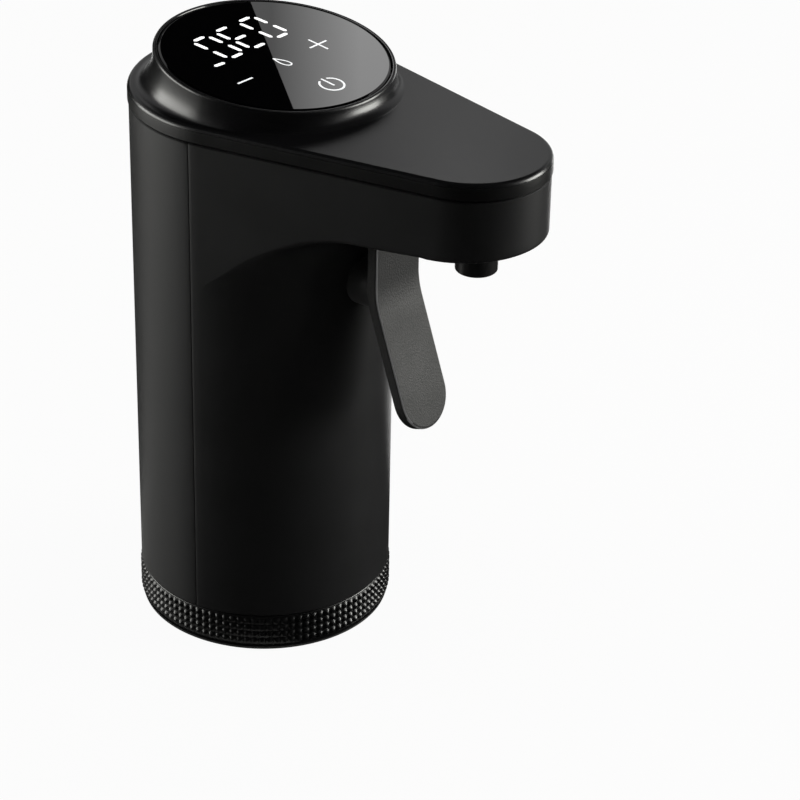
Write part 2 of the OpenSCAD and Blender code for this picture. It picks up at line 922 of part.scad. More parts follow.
module trigger_button() {
    back = button_flange - flange_t;
    color(rubber)
    union() {
        along_x(back, button_z) {
            cylinder(r = flange_r, h = flange_t);
            cylinder(r = button_r, h = button_tip - back - 0.6);
            translate([0, 0, button_tip - back - 0.6])
                cylinder(r1 = button_r, r2 = button_r - 0.6, h = 0.6);
        }
        along_x(switch_front - 1, button_z)
            cylinder(r = stem_r, h = back - switch_front + 1.1);
    }
}

// Round wire wound as one unbroken coil along X
coil_r = 3;
wire_r = 0.35;
coil_turns = 5;
coil_x0 = switch_front + wire_r + 0.03;
coil_x1 = button_flange - flange_t - wire_r - 0.03;
coil_rings = 8 * coil_turns;
function coil_point(i) = let (a = 360 * i / 8)
    [coil_x0 + (coil_x1 - coil_x0) * i / coil_rings, coil_r * cos(a), button_z + coil_r * sin(a)];
function coil_out(i) = let (a = 360 * i / 8) [0, cos(a), sin(a)];
coil_sides = 6;

module button_spring() {
    n = coil_sides;
    m = coil_rings + 1;
    pitch = (coil_x1 - coil_x0) / coil_turns;
    echo(str("button spring: least gap between turns ", pitch - 2 * wire_r));
    color(steel)
    polyhedron(
        [for (i = [0:coil_rings]) for (k = [0:n - 1])
            coil_point(i) + wire_r * (cos(360 * k / n) * coil_out(i)
                + sin(360 * k / n) * [1, 0, 0])],
        concat(
            [for (i = [0:m - 2]) for (k = [0:n - 1])
                let (a = i * n + k, b = i * n + (k + 1) % n)
                each [[a, b, b + n], [a, b + n, a + n]]],
            [for (k = [1:n - 2]) [0, k + 1, k]],
            [for (k = [1:n - 2]) [(m - 1) * n, (m - 1) * n + k, (m - 1) * n + k + 1]]
        )
    );
}

module microswitch() {
    color([0.1, 0.1, 0.11])
    difference() {
        translate([switch_front - switch_depth, -6.5, button_z - 3.2])
            cube([switch_depth, 13, 6.4]);
        along_x(switch_front - 4.6, button_z)
            cylinder(r = stem_r + 0.1, h = 6);
    }
}

// Power and air

module battery_cell() {
    color([0.15, 0.35, 0.6])
    translate([cell_x, cell_y, deck_top]) {
        cylinder(r = cell_r, h = cell_len - 1);
        translate([0, 0, cell_len - 1.5])
            cylinder(r = 3, h = 1.5);
    }
}

module pump_motor() {
    color(steel)
    translate([motor_x, motor_y, deck_top])
        difference() {
            cylinder(r = motor_r, h = motor_len);
            translate([0, 0, motor_len - 7])
                cylinder(r = 1 + run, h = 8);
        }
}

module pump_crank() {
    color([0.85, 0.8, 0.6])
    translate([motor_x, motor_y, motor_top]) {
        translate([0, 0, -6])
            cylinder(r = 1, h = 9);
        translate([0, 0, 2])
            cylinder(r = 4.2, h = 2);
        translate([2.2, 0, 3.9])
            cylinder(r = 0.9, h = 4);
    }
}

module pump_frame() {
    color([0.16, 0.16, 0.17])
    translate([motor_x, motor_y, motor_top])
        difference() {
            cylinder(r = motor_r, h = crank_room + 1.5);
            translate([0, 0, -1])
                cylinder(r = motor_r - 1.6, h = crank_room + 1);
            translate([0, 0, -1])
                cylinder(r = 5, h = crank_room + 4);
            rotate([0, 0, 50])
                translate([0, -4, 2])
                    cube([20, 8, 6]);
        }
}

module pump_diaphragm() {
    color(rubber)
    translate([motor_x, motor_y, frame_top])
        union() {
            cylinder(r = motor_r - 0.2, h = 1);
            translate([0, 0, -1.5])
                cylinder(r = 4.6, h = 1.6);
        }
}

module pump_cap() {
    color([0.16, 0.16, 0.17])
    translate([motor_x, motor_y, frame_top + 1])
        difference() {
            union() {
                cylinder(r = motor_r, h = cap_top - frame_top - 1);
                cylinder(r = barb_r, h = cap_top - frame_top + 5);
            }
            translate([0, 0, -1])
                cylinder(r = barb_r - 0.7, h = 40);
            for (a = [0:120:240])
                rotate([0, 0, a + 60])
                    translate([motor_r - 3.5, 0, -1])
                        cylinder(r = 2, h = 4.5);
        }
}

module air_hose() {
    color(clear_hose) {
        union() {
            translate([motor_x, motor_y, cap_top])
                tube(air_hose_r, air_bore, air_top - cap_top, $fn = 24);
            translate([motor_x + air_turn_r, motor_y, air_top])
                rotate([90, 0, 0])
                    bend(air_turn_r, air_hose_r, air_bore, 180);
            translate([air_x, motor_y, valve_z + valve_len])
                tube(air_hose_r, air_bore, air_top - valve_z - valve_len, $fn = 24);
        }
        translate([air_x, motor_y, deck_top])
            tube(air_hose_r, air_bore, valve_z - deck_top, $fn = 24);
    }
}

module check_valve() {
    color([0.75, 0.2, 0.2])
    translate([air_x, motor_y, valve_z])
        difference() {
            union() {
                cylinder(r = 3.1, h = valve_len);
                translate([0, 0, -4])
                    cylinder(r = barb_r, h = valve_len + 8);
            }
            translate([0, 0, -5])
                cylinder(r = barb_r - 0.7, h = valve_len + 10);
        }
}

module main_board() {
    board_h = board_top - deck_top;
    color(board_green)
    union() {
        translate([board_x, -board_w / 2, deck_top])
            cube([1.6, board_w, board_h]);
        translate([board_x + 1.5, -4, deck_top + 0.32 * board_h])
            cube([1.3, 8, 8]);
        translate([board_x + 1.5, -3, deck_top + 0.63 * board_h])
            cube([2.6, 6, 5]);
        translate([board_x + 1.5, -2.5, deck_top + 0.81 * board_h])
            cube([2, 5, 3]);
        translate([board_x + 1.5, 0, deck_top + 0.52 * board_h])
            rotate([0, 90, 0])
                cylinder(r = 2.6, h = 2.4);
    }
}

module charging_port() {
    color(steel)
    translate([board_x, 0, port_z])
        rotate([0, -90, 0])
            linear_extrude(body_r - 1.6 + board_x)
                difference() {
                    union() {
                        square([3.2, 5.8], center = true);
                        for (side = [-1, 1])
                            translate([0, side * 2.9])
                                circle(r = 1.6);
                    }
                    square([2.6, 5.8], center = true);
                    for (side = [-1, 1])
                        translate([0, side * 2.9])
                            circle(r = 1.3);
                }
}

front_housing();
rear_cover();
top_cover();
display_bezel();
display_glass();
display_board();
digit_module();
base_plate();
base_screws();
neck_socket();
twist_ring();
bottle_seal();
lip_gasket();
chassis_frame();
riser_pipe();
intake_tube_upper();
intake_tube_middle();
intake_tube_lower();
intake_strainer();
riser_elbow();
wine_hose();
nozzle();
aerator_insert();
trigger_lever();
trigger_pin();
trigger_button();
button_spring();
microswitch();
battery_cell();
pump_motor();
pump_crank();
pump_frame();
pump_diaphragm();
pump_cap();
air_hose();
check_valve();
main_board();
charging_port();
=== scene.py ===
# %% [markdown]
# # Electric wine aerator
# The object pumps air down through its foot and so drives liquid up a thin pipe, along the forward
# head and out of a small nozzle. A round touch display is set on top, and a flat lever hangs behind
# the nozzle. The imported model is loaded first, because every piece of this scene is placed around
# it, in metres and in the same frame.

# %% Load the frame
import json
import math
import bmesh
import bpy
import numpy as np
from mathutils import Matrix, Vector


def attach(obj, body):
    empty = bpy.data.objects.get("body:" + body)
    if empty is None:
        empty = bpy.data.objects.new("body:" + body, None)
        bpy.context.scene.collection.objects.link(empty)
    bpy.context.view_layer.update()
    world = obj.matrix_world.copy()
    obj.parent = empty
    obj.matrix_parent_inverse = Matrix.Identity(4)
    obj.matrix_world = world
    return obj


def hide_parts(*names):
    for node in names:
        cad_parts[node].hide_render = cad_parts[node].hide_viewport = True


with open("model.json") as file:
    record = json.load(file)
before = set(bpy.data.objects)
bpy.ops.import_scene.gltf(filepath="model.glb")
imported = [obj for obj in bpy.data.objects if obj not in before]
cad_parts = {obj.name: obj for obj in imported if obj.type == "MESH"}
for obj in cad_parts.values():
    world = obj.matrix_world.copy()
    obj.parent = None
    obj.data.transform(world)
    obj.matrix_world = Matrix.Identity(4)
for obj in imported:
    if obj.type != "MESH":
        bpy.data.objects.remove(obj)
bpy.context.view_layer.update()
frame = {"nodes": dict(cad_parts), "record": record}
MM = 0.001

# %% [markdown]
# The camera comes before the pieces. Its angle, distance and lens were fitted to the outline of the
# body, so a shape that is right in millimetres also falls on the right pixels of an 800 pixel frame.

# %% Camera
# Lengths are in mm, and the focal length is in pixels of the picture.
PICTURE = 800
FOCAL_PX = 2847.3
DISTANCE = 673.0
AZIMUTH = math.radians(37.69)
ELEVATION = math.radians(29.55)
ROLL = math.radians(1.27)
AIM_SIDE = 31.98
AIM_UP = 51.55
SENSOR = 36.0

camera_back = Vector((math.sin(AZIMUTH) * math.cos(ELEVATION),
                      -math.cos(AZIMUTH) * math.cos(ELEVATION), math.sin(ELEVATION)))
level_right = Vector((math.cos(AZIMUTH), math.sin(AZIMUTH), 0))
level_up = camera_back.cross(level_right)
camera_right = math.cos(ROLL) * level_right + math.sin(ROLL) * level_up
camera_up = camera_back.cross(camera_right)
camera_aim = Vector((AIM_SIDE * math.cos(AZIMUTH), AIM_SIDE * math.sin(AZIMUTH), AIM_UP)) * MM

camera_data = bpy.data.cameras.new("photo_camera")
camera_data.sensor_width = SENSOR
camera_data.lens = FOCAL_PX / PICTURE * SENSOR
camera_data.clip_start = 0.01
camera_data.clip_end = 20
camera = bpy.data.objects.new("photo_camera", camera_data)
bpy.context.scene.collection.objects.link(camera)
axes = Matrix((camera_right, camera_up, camera_back)).transposed().to_4x4()
camera.matrix_world = Matrix.Translation(camera_aim + camera_back * DISTANCE * MM) @ axes
bpy.context.scene.camera = camera
bpy.context.scene.view_settings.view_transform = "Standard"
print("lens in mm:", round(camera_data.lens, 1))

# %% [markdown]
# Colours are written as the sRGB hex values that a colour picker shows, and one function turns them
# into the linear numbers that the shader wants. A second small function adds a node to a material:
# it sets the node's options, and for each input it either sets a value or draws a link.

# %% Colour and node helpers
def linear(hex_colour):
    parts = [int(hex_colour[i:i + 2], 16) / 255 for i in (1, 3, 5)]
    return [c / 12.92 if c <= 0.04045 else ((c + 0.055) / 1.055) ** 2.4 for c in parts] + [1.0]


def add_node(tree, kind, inputs=None, **options):
    made = tree.nodes.new(kind)
    for option, value in options.items():
        setattr(made, option, value)
    for key, value in (inputs or {}).items():
        if isinstance(value, bpy.types.NodeSocket):
            tree.links.new(value, made.inputs[key])
        else:
            made.inputs[key].default_value = value
    return made


def new_material(name):
    made = bpy.data.materials.new(name)
    made.use_nodes = True
    made.node_tree.nodes.clear()
    return made, made.node_tree


# %% [markdown]
# Nearly all of this object is moulded plastic or rubber. The real surface copies its steel mould:
# a spark-eroded mould leaves a fine matt grain, a polished one a mirror. One recipe makes both.
# A fine noise gives the grain as bump, a slow noise varies the roughness as handling does, and a
# faint change of colour keeps large faces from looking like paper. The pattern's scale is worked
# out from the grain's width in millimetres. The real grain is 0.03 mm, under a tenth of a pixel,
# so it is drawn about five times as coarse.

# %% Moulded plastics and rubber
HANDLING_MM = 12


def moulded(name, colour, shade, roughness, spread, grain_mm, depth_mm, ior=1.5, sheen=0.0):
    made, tree = new_material(name)
    place = add_node(tree, "ShaderNodeTexCoord").outputs["Object"]
    slow = add_node(tree, "ShaderNodeTexNoise",
                    {"Vector": place, "Scale": 1 / (HANDLING_MM * MM), "Detail": 3.0, "Roughness": 0.55})
    grain = add_node(tree, "ShaderNodeTexNoise",
                     {"Vector": place, "Scale": 1 / (grain_mm * MM), "Detail": 2.0, "Roughness": 0.6})
    tint = add_node(tree, "ShaderNodeMix", {"Factor": slow.outputs["Fac"], "A": linear(colour),
                                            "B": linear(shade)}, data_type="RGBA")
    polish = add_node(tree, "ShaderNodeMapRange",
                      {"Value": slow.outputs["Fac"], "From Min": 0.3, "From Max": 0.7,
                       "To Min": roughness - spread, "To Max": roughness + spread})
    bump = add_node(tree, "ShaderNodeBump", {"Height": grain.outputs["Fac"], "Strength": 1.0,
                                             "Distance": depth_mm * MM})
    shader = add_node(tree, "ShaderNodeBsdfPrincipled",
                      {"Base Color": tint.outputs["Result"], "Roughness": polish.outputs["Result"],
                       "Normal": bump.outputs["Normal"], "IOR": ior, "Sheen Weight": sheen})
    add_node(tree, "ShaderNodeOutputMaterial", {"Surface": shader.outputs["BSDF"]})
    return made


# ABS from a spark-eroded mould: a soft black that only turns grey in broad highlights.
abs_satin = moulded("abs_spark_eroded_black", "#151516", "#18181a", 0.42, 0.015, 0.16, 0.006)
# The lid's mould was smoother, so its flat top and its flare carry a clearer shine.
abs_lid = moulded("abs_lid_black", "#101011", "#121214", 0.26, 0.008, 0.16, 0.003)
# The wall of the lid's rim is duller than its top. Its colour is also a darker copy of the top's, painted
# shade that keeps it nearly black.
lid_wall_dull_painted_shade = moulded("abs_lid_wall_dull_painted_shade", "#0d0d0e", "#0f0f10", 0.35, 0.02, 0.16, 0.003)
# A coarse grain for the finger's grip, which breaks up the light on the lever's face.
abs_lever = moulded("abs_lever_coarse_grain", "#131314", "#171718", 0.6, 0.03, 0.4, 0.11)
# The lever's front edge radius gets a pale grey base colour: a painted highlight that shows as a thin pale
# line.
lever_edge_painted_highlight = moulded("abs_lever_edge_painted_highlight", "#767678", "#7e7e80", 0.3, 0.03, 0.36, 0.004)
# The studs of the ring are glossy, so each gives one small bright dot.
abs_knurl = moulded("abs_knurled_gloss", "#0d0d0e", "#111112", 0.28, 0.03, 0.3, 0.002)
# A semi gloss, which draws one upright highlight on the small tube.
abs_nozzle = moulded("abs_nozzle_semi_gloss", "#111112", "#151516", 0.3, 0.03, 0.5, 0.001)
# ABS from a polished mould: a black mirror with sharp hairlines on its edges.
abs_polished = moulded("abs_polished_black", "#0d0d0e", "#101011", 0.12, 0.03, 0.5, 0.001)
# The frame inside is charcoal ABS as it leaves the mould: lighter and dull.
abs_frame = moulded("abs_frame_charcoal", "#26272a", "#2e2f33", 0.55, 0.05, 0.3, 0.01)
# Acetal is a milky white plastic with a soft shine.
acetal = moulded("acetal_white", "#dcdcd8", "#e6e6e2", 0.35, 0.04, 0.4, 0.003, ior=1.48)
# Silicone rubber is a dull black with a faint pale bloom at its edges.
silicone_black = moulded("silicone_rubber_black", "#1b1b1c", "#232324", 0.6, 0.06, 0.35, 0.012,
                         ior=1.41, sheen=0.15)
# Smoked polycarbonate has a hard, clear shine, drawn here as an opaque grey.
polycarbonate = moulded("polycarbonate_smoke", "#9aa1a6", "#a8aeb2", 0.18, 0.03, 0.6, 0.001, ior=1.58)
# Heat-shrunk PVC is a smooth film that ripples a little over what it holds.
pvc_sleeve = moulded("pvc_heat_shrink_blue", "#2c5a8e", "#336399", 0.28, 0.05, 0.9, 0.01, ior=1.53)
print("moulded finishes:", len([m for m in bpy.data.materials if m.use_nodes]))

# %% [markdown]
# The remaining finishes are metal, glass, light and circuit board. Brushed stainless steel is drawn
# with a noise that is stretched along the tube, because polishing lines run that way. The display's
# face is black tempered glass, almost a mirror. Its digits are lit by diodes from behind, so they
# are an emission and no paint.

# %% Steel, glass, light and board
def brushed(name, colour, roughness, line_mm, stretch):
    made, tree = new_material(name)
    place = add_node(tree, "ShaderNodeTexCoord").outputs["Object"]
    mapped = add_node(tree, "ShaderNodeMapping", {"Vector": place, "Scale": stretch})
    lines = add_node(tree, "ShaderNodeTexNoise", {"Vector": mapped.outputs["Vector"],
                                                  "Scale": 1 / (line_mm * MM), "Detail": 4.0})
    polish = add_node(tree, "ShaderNodeMapRange",
                      {"Value": lines.outputs["Fac"], "To Min": roughness - 0.08,
                       "To Max": roughness + 0.1})
    bump = add_node(tree, "ShaderNodeBump", {"Height": lines.outputs["Fac"], "Strength": 0.4,
                                             "Distance": 0.01 * MM})
    shader = add_node(tree, "ShaderNodeBsdfPrincipled",
                      {"Base Color": linear(colour), "Metallic": 1.0, "Roughness": polish.outputs["Result"],
                       "Normal": bump.outputs["Normal"]})
    add_node(tree, "ShaderNodeOutputMaterial", {"Surface": shader.outputs["BSDF"]})
    return made


# Brushed stainless steel: a bright metal whose highlights are drawn out by its polishing lines.
stainless = brushed("stainless_steel_brushed", "#c9c9cb", 0.28, 0.4, (1, 1, 0.06))


def tempered_glass():
    """A black face that mirrors the studio sharply, with faint smears from fingers."""
    made, tree = new_material("tempered_glass_black")
    place = add_node(tree, "ShaderNodeTexCoord").outputs["Object"]
    smear = add_node(tree, "ShaderNodeTexNoise", {"Vector": place, "Scale": 1 / (9 * MM), "Detail": 5.0})
    polish = add_node(tree, "ShaderNodeMapRange", {"Value": smear.outputs["Fac"], "To Min": 0.004,
                                                   "To Max": 0.014})
    shader = add_node(tree, "ShaderNodeBsdfPrincipled",
                      {"Base Color": linear("#020203"), "Roughness": polish.outputs["Result"], "IOR": 1.52})
    add_node(tree, "ShaderNodeOutputMaterial", {"Surface": shader.outputs["BSDF"]})
    return made


glass_black = tempered_glass()


def diode_light(name, colour, strength):
    """Marks lit from behind by white diodes, hardly uneven, that stay white from every side."""
    made, tree = new_material(name)
    place = add_node(tree, "ShaderNodeTexCoord").outputs["Object"]
    spots = add_node(tree, "ShaderNodeTexNoise", {"Vector": place, "Scale": 1 / (1.5 * MM), "Detail": 1.0})
    glow = add_node(tree, "ShaderNodeMapRange", {"Value": spots.outputs["Fac"], "To Min": strength * 0.92,
                                                 "To Max": strength * 1.06})
    shader = add_node(tree, "ShaderNodeBsdfPrincipled",
                      {"Base Color": linear("#d8dadb"), "Roughness": 0.3, "Emission Color": linear(colour),
                       "Emission Strength": glow.outputs["Result"]})
    add_node(tree, "ShaderNodeOutputMaterial", {"Surface": shader.outputs["BSDF"]})
    return made


digit_light = diode_light("diode_light_white", "#ffffff", 1.0)
icon_light = diode_light("diode_light_dim", "#f1f3f5", 0.85)


def solder_mask():
    """Green lacquer on a glass-fibre board, with paler lines where copper runs beneath it."""
    made, tree = new_material("fr4_solder_mask_green")
    place = add_node(tree, "ShaderNodeTexCoord").outputs["Object"]
    tracks = add_node(tree, "ShaderNodeTexBrick",
                      {"Vector": place, "Scale": 1 / (4 * MM), "Color1": linear("#0d3b24"),
                       "Color2": linear("#104229"), "Mortar": linear("#1c5c3a"), "Mortar Size": 0.05})
    shader = add_node(tree, "ShaderNodeBsdfPrincipled",
                      {"Base Color": tracks.outputs["Color"], "Roughness": 0.32, "IOR": 1.55})
    add_node(tree, "ShaderNodeOutputMaterial", {"Surface": shader.outputs["BSDF"]})
    return made


board_green = solder_mask()


def clear_silicone():
    """Clear silicone rubber, which looks milky and lets a dim light through."""
    made, tree = new_material("silicone_hose_clear")
    place = add_node(tree, "ShaderNodeTexCoord").outputs["Object"]
    cloud = add_node(tree, "ShaderNodeTexNoise", {"Vector": place, "Scale": 1 / (3 * MM), "Detail": 2.0})
    polish = add_node(tree, "ShaderNodeMapRange", {"Value": cloud.outputs["Fac"], "To Min": 0.2,
                                                   "To Max": 0.34})
    shader = add_node(tree, "ShaderNodeBsdfPrincipled",
                      {"Base Color": linear("#dfe3e4"), "Roughness": polish.outputs["Result"], "IOR": 1.41,
                       "Transmission Weight": 0.6})
    add_node(tree, "ShaderNodeOutputMaterial", {"Surface": shader.outputs["BSDF"]})
    return made


silicone_hose = clear_silicone()
print("all finishes so far:", len([m for m in bpy.data.materials if m.use_nodes]))

# %% [markdown]
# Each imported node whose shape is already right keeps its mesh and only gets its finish. That holds
# for the inner pieces, the tubes and the small hardware. The record names a slot for every node, and
# the table below gives each slot its finish.

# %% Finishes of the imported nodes
FINISH = {
    "matte_black_shell": abs_satin, "matte_black_lid": abs_lid, "gloss_black_trim": abs_polished,
    "gloss_black_ring": abs_knurl, "display_glass": glass_black, "digit_window": acetal,
    "circuit_board": board_green, "bright_steel": stainless, "seal_rubber": silicone_black,
    "dark_frame": abs_frame, "silicone_hose": silicone_hose, "white_insert": acetal,
    "lever_plastic": abs_lever, "battery_sleeve": pvc_sleeve, "valve_body": polycarbonate,
}
slot_of = {entry["node"]: entry["material_slot"] for entry in frame["record"]["subparts"]}
for node_name, node_object in frame["nodes"].items():
    node_object.data.materials.clear()
    node_object.data.materials.append(FINISH[slot_of[node_name]])
print("finished nodes:", len(slot_of))

# %% [markdown]
# The outer shells are made again as fine meshes, because a shell that catches studio light shows
# every facet and wants its small edge radii. They are all built the same way. A ring of points is
# a list in millimetres, a piece is a stack of such rings, and neighbouring rings are joined by quads.
# The last ring can join the first, which closes a shell with an inner and an outer face.

# %% Mesh helpers
WELD_MM = 0.002
SLIVER_MM = 0.0005


def as_mesh(name, points, faces):
    mesh = bpy.data.meshes.new(name)
    mesh.from_pydata([tuple(float(c) * MM for c in p) for p in points], [], faces)
    cleaned = bmesh.new()
    cleaned.from_mesh(mesh)
    bmesh.ops.remove_doubles(cleaned, verts=cleaned.verts, dist=WELD_MM * MM)
    bmesh.ops.dissolve_degenerate(cleaned, edges=cleaned.edges, dist=SLIVER_MM * MM)
    bmesh.ops.recalc_face_normals(cleaned, faces=cleaned.faces)
    cleaned.to_mesh(mesh)
    cleaned.free()
    return mesh


def grid_faces(rows, columns, wrap_rows=False, wrap_columns=True):
    return [(j * columns + i, j * columns + (i + 1) % columns,
             (j + 1) % rows * columns + (i + 1) % columns, (j + 1) % rows * columns + i)
            for j in range(rows if wrap_rows else rows - 1)
            for i in range(columns if wrap_columns else columns - 1)]


def ring_mesh(name, rings, wrap_rows=False, caps=False):
    rings = np.asarray(rings, float)
    rows, columns = rings.shape[:2]
    points = list(rings.reshape(-1, 3))
    faces = grid_faces(rows, columns, wrap_rows)
    if caps:
        faces.append(tuple(range(columns))[::-1])
        faces.append(tuple(range((rows - 1) * columns, rows * columns)))
    return as_mesh(name, points, faces)


def smooth(mesh, angle=32):
    mesh.polygons.foreach_set("use_smooth", [True] * len(mesh.polygons))
    mesh.set_sharp_from_angle(angle=math.radians(angle))


def piece(name, mesh, material, body, stands_for=(), angle=32, weighted=True):
    made = bpy.data.objects.new(name, mesh)
    bpy.context.scene.collection.objects.link(made)
    smooth(mesh, angle)
    mesh.materials.append(material)
    if weighted:
        made.modifiers.new("flat_faces_stay_flat", "WEIGHTED_NORMAL").keep_sharp = True
    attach(made, body)
    if stands_for:
        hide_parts(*stands_for)
    print(name, len(mesh.polygons), "faces")
    return made


def cut(mesh, *cutters):
    """Takes the cutters' volumes out of a mesh with the exact solver."""
    target = bpy.data.objects.new("cut_target", mesh)
    bpy.context.scene.collection.objects.link(target)
    tools = []
    for cutter in cutters:
        tool = bpy.data.objects.new("cut_tool", cutter)
        bpy.context.scene.collection.objects.link(tool)
        step = target.modifiers.new("cut", "BOOLEAN")
        step.operation = "DIFFERENCE"
        step.solver = "EXACT"
        step.object = tool
        tools.append(tool)
    ready = target.evaluated_get(bpy.context.evaluated_depsgraph_get())
    result = bpy.data.meshes.new_from_object(ready)
    for helper in [target, *tools]:
        bpy.data.objects.remove(helper)
    result.name = mesh.name
    return result


def rounded(corners, steps=4):
    """A closed outline through (x, y, radius) corners, each corner turned into an arc."""
    outline = []
    for k, (x, y, radius) in enumerate(corners):
        here = np.array([x, y], float)
        before = np.array(corners[k - 1][:2]) - here
        after = np.array(corners[(k + 1) % len(corners)][:2]) - here
        if radius <= 0:
            outline.append(here)
            continue
        before /= np.linalg.norm(before)
        after /= np.linalg.norm(after)
        half = math.acos(np.clip(before @ after, -1, 1)) / 2
        reach = radius / math.tan(half)
        middle = here + (before + after) / np.linalg.norm(before + after) * radius / math.sin(half)
        start = here + before * reach - middle
        end = here + after * reach - middle
        turn = math.atan2(start[0] * end[1] - start[1] * end[0], start @ end)
        for s in range(steps + 1):
            a = turn * s / steps
            spin = np.array([[math.cos(a), -math.sin(a)], [math.sin(a), math.cos(a)]])
            outline.append(middle + spin @ start)
    return np.array(outline)


def revolved(profile, sides=96):
    """Rings of a profile of (radius, height) points turned round the Z axis."""
    turn = np.linspace(0, 2 * math.pi, sides, endpoint=False)
    return [[(r * math.cos(a), r * math.sin(a), z) for a in turn] for r, z in profile]


def placed(rings, matrix):
    """The same rings after a 4 by 4 move, in millimetres."""
    rings = np.asarray(rings, float)
    turn = np.array(matrix.to_3x3())
    return rings @ turn.T + np.array(matrix.translation)


# %% [markdown]
# Seen from above, the body is a circle that is drawn out to a smaller circle at the tip, with
# straight flanks that touch both. Both covers and the lid follow this outline, so it is worked out
# once. A point of it is found for any inset, which keeps the wall thickness even all round.

# %% Plan outline of body and head
BODY_R = 30.0
TIP_X = 58.0
TIP_R = 17.3
WALL = 2.2
COVER_TOP = 128.7
COVER_BOTTOM = 9.5
TANGENT = math.asin((BODY_R - TIP_R) / TIP_X)
FLANK_NORMAL = np.array([math.sin(TANGENT), math.cos(TANGENT)])


def outline_half(inset, tip_steps, flank_steps, back_angles):
    """Plan points from the tip round to the back, on the +Y side."""
    tip = np.array([TIP_X, 0.0])
    angles = np.linspace(0, math.pi / 2 - TANGENT, tip_steps + 1)
    points = [tip + (TIP_R - inset) * np.array([math.cos(a), math.sin(a)]) for a in angles]
    start, end = points[-1], (BODY_R - inset) * FLANK_NORMAL
    points += [start + (end - start) * s / flank_steps for s in range(1, flank_steps + 1)]
    points += [(BODY_R - inset) * np.array([math.cos(a), math.sin(a)]) for a in back_angles]
    return points


def mirrored(half, closed):
    """The half outline and its mirror image, from the -Y side to the +Y side."""
    other = [np.array([p[0], -p[1]]) for p in half[::-1]]
    return (other[1:-1] + half) if closed else (other[:-1] + half)


body_tangent = math.pi / 2 - TANGENT
print("flanks touch the body at", round(math.degrees(body_tangent), 1), "degrees from the spout")

# %% [markdown]
# The front housing is the hardest form here. Its wall is the plan outline raised straight up. Its
# underside is a shallow slope that is carried round the body axis and rolls into the body with a
# large hollow fillet. So at any direction from the axis the section is one simple curve: up the
# body, round the fillet, out along the slope, round the small edge radius, and up the side wall.
# A stack of those sections gives the whole shell, with its inner face made the same way.

# %% Front housing section
HEAD_TALL = 15.05
UNDER_TIP = COVER_TOP - HEAD_TALL
UNDER_SLOPE = 0.063
FILLET_R = 19.0
EDGE_R = 0.9
INNER_EDGE_R = 0.6
FOOT_BREAK = 0.2
FOOT_BAND = 1.2
SEAM = math.radians(82)
TIP_SECTOR = math.radians(16)
LEAST_SKEW = 0.35
WALL_ROWS, UNDER_ROWS, EDGE_ROWS = 8, 30, 6
SIDE_SHARES = (0.03, 0.2, 0.5, 0.8, 0.97, 1.0)
fillet_rho = BODY_R + FILLET_R
slope_angle = math.atan(UNDER_SLOPE)


def under_z(rho):
    return UNDER_TIP + UNDER_SLOPE * (rho - TIP_X)


fillet_z = under_z(fillet_rho + FILLET_R * math.sin(slope_angle)) - FILLET_R * math.cos(slope_angle)


def under_point(rho, lift):
    """Height of the underside, or of its inner face, at a distance from the body axis."""
    radius = FILLET_R + lift
    if rho < fillet_rho - radius * math.sin(slope_angle):
        return fillet_z + math.sqrt(max(radius ** 2 - (fillet_rho - rho) ** 2, 0))
    return under_z(rho) + lift / math.cos(slope_angle)


def section(plan, lift, edge_r, top):
    """Points of the section over one plan point, from the bottom edge to the top edge.

    Along the flanks the section meets the wall at a slant, so its edge radius is drawn out by that."""
    reach = float(np.linalg.norm(plan))
    direction = plan / reach
    start = BODY_R - lift
    room = max(reach - start, 0.0)
    skew = max(float(direction @ FLANK_NORMAL * np.sign(direction[1] or 1)), LEAST_SKEW)
    if math.atan2(abs(plan[1]), plan[0]) < TIP_SECTOR:
        skew = 1.0
    corner = min(edge_r / skew, 0.5 * room)
    rise = min(edge_r, 0.5 * room)
    rows = [(start - (FOOT_BREAK if lift < 1 else 0), COVER_BOTTOM), (start, COVER_BOTTOM + FOOT_BREAK),
            (start, COVER_BOTTOM + FOOT_BAND)]
    rows += [(start, COVER_BOTTOM + FOOT_BAND + (fillet_z - COVER_BOTTOM - FOOT_BAND) * s / WALL_ROWS)
             for s in range(1, WALL_ROWS + 1)]
    for s in range(1, UNDER_ROWS + 1):
        rho = start + (room - corner) * (1 - math.cos(math.pi / 2 * s / UNDER_ROWS))
        rows.append((rho, under_point(rho, lift)))
    inner = np.array(rows[-1])
    knee = np.array([reach, under_point(reach, lift)])
    outer = knee + np.array([0, rise])
    for s in range(1, EDGE_ROWS + 1):
        t = s / EDGE_ROWS
        rows.append(tuple((1 - t) ** 2 * inner + 2 * t * (1 - t) * knee + t ** 2 * outer))
    wall_start = outer[1]
    for share in SIDE_SHARES:
        rows.append((reach, wall_start + (top - wall_start) * share))
    return [(r * direction[0], r * direction[1], z) for r, z in rows]


TOP_EDGE = 0.25
GROOVE = 0.2
SHELL_TOP = COVER_TOP - GROOVE
SEAM_BREAK = 0.08
SEAM_STRIP = 0.006
TIP_STEPS, FLANK_STEPS, CORNER_STEPS = 18, 40, 5
seam_angles = np.concatenate([np.linspace(body_tangent, SEAM - SEAM_STRIP, CORNER_STEPS)[1:], [SEAM]])


def housing_plan(inset):
    return mirrored(outline_half(inset, TIP_STEPS, FLANK_STEPS, seam_angles), closed=False)


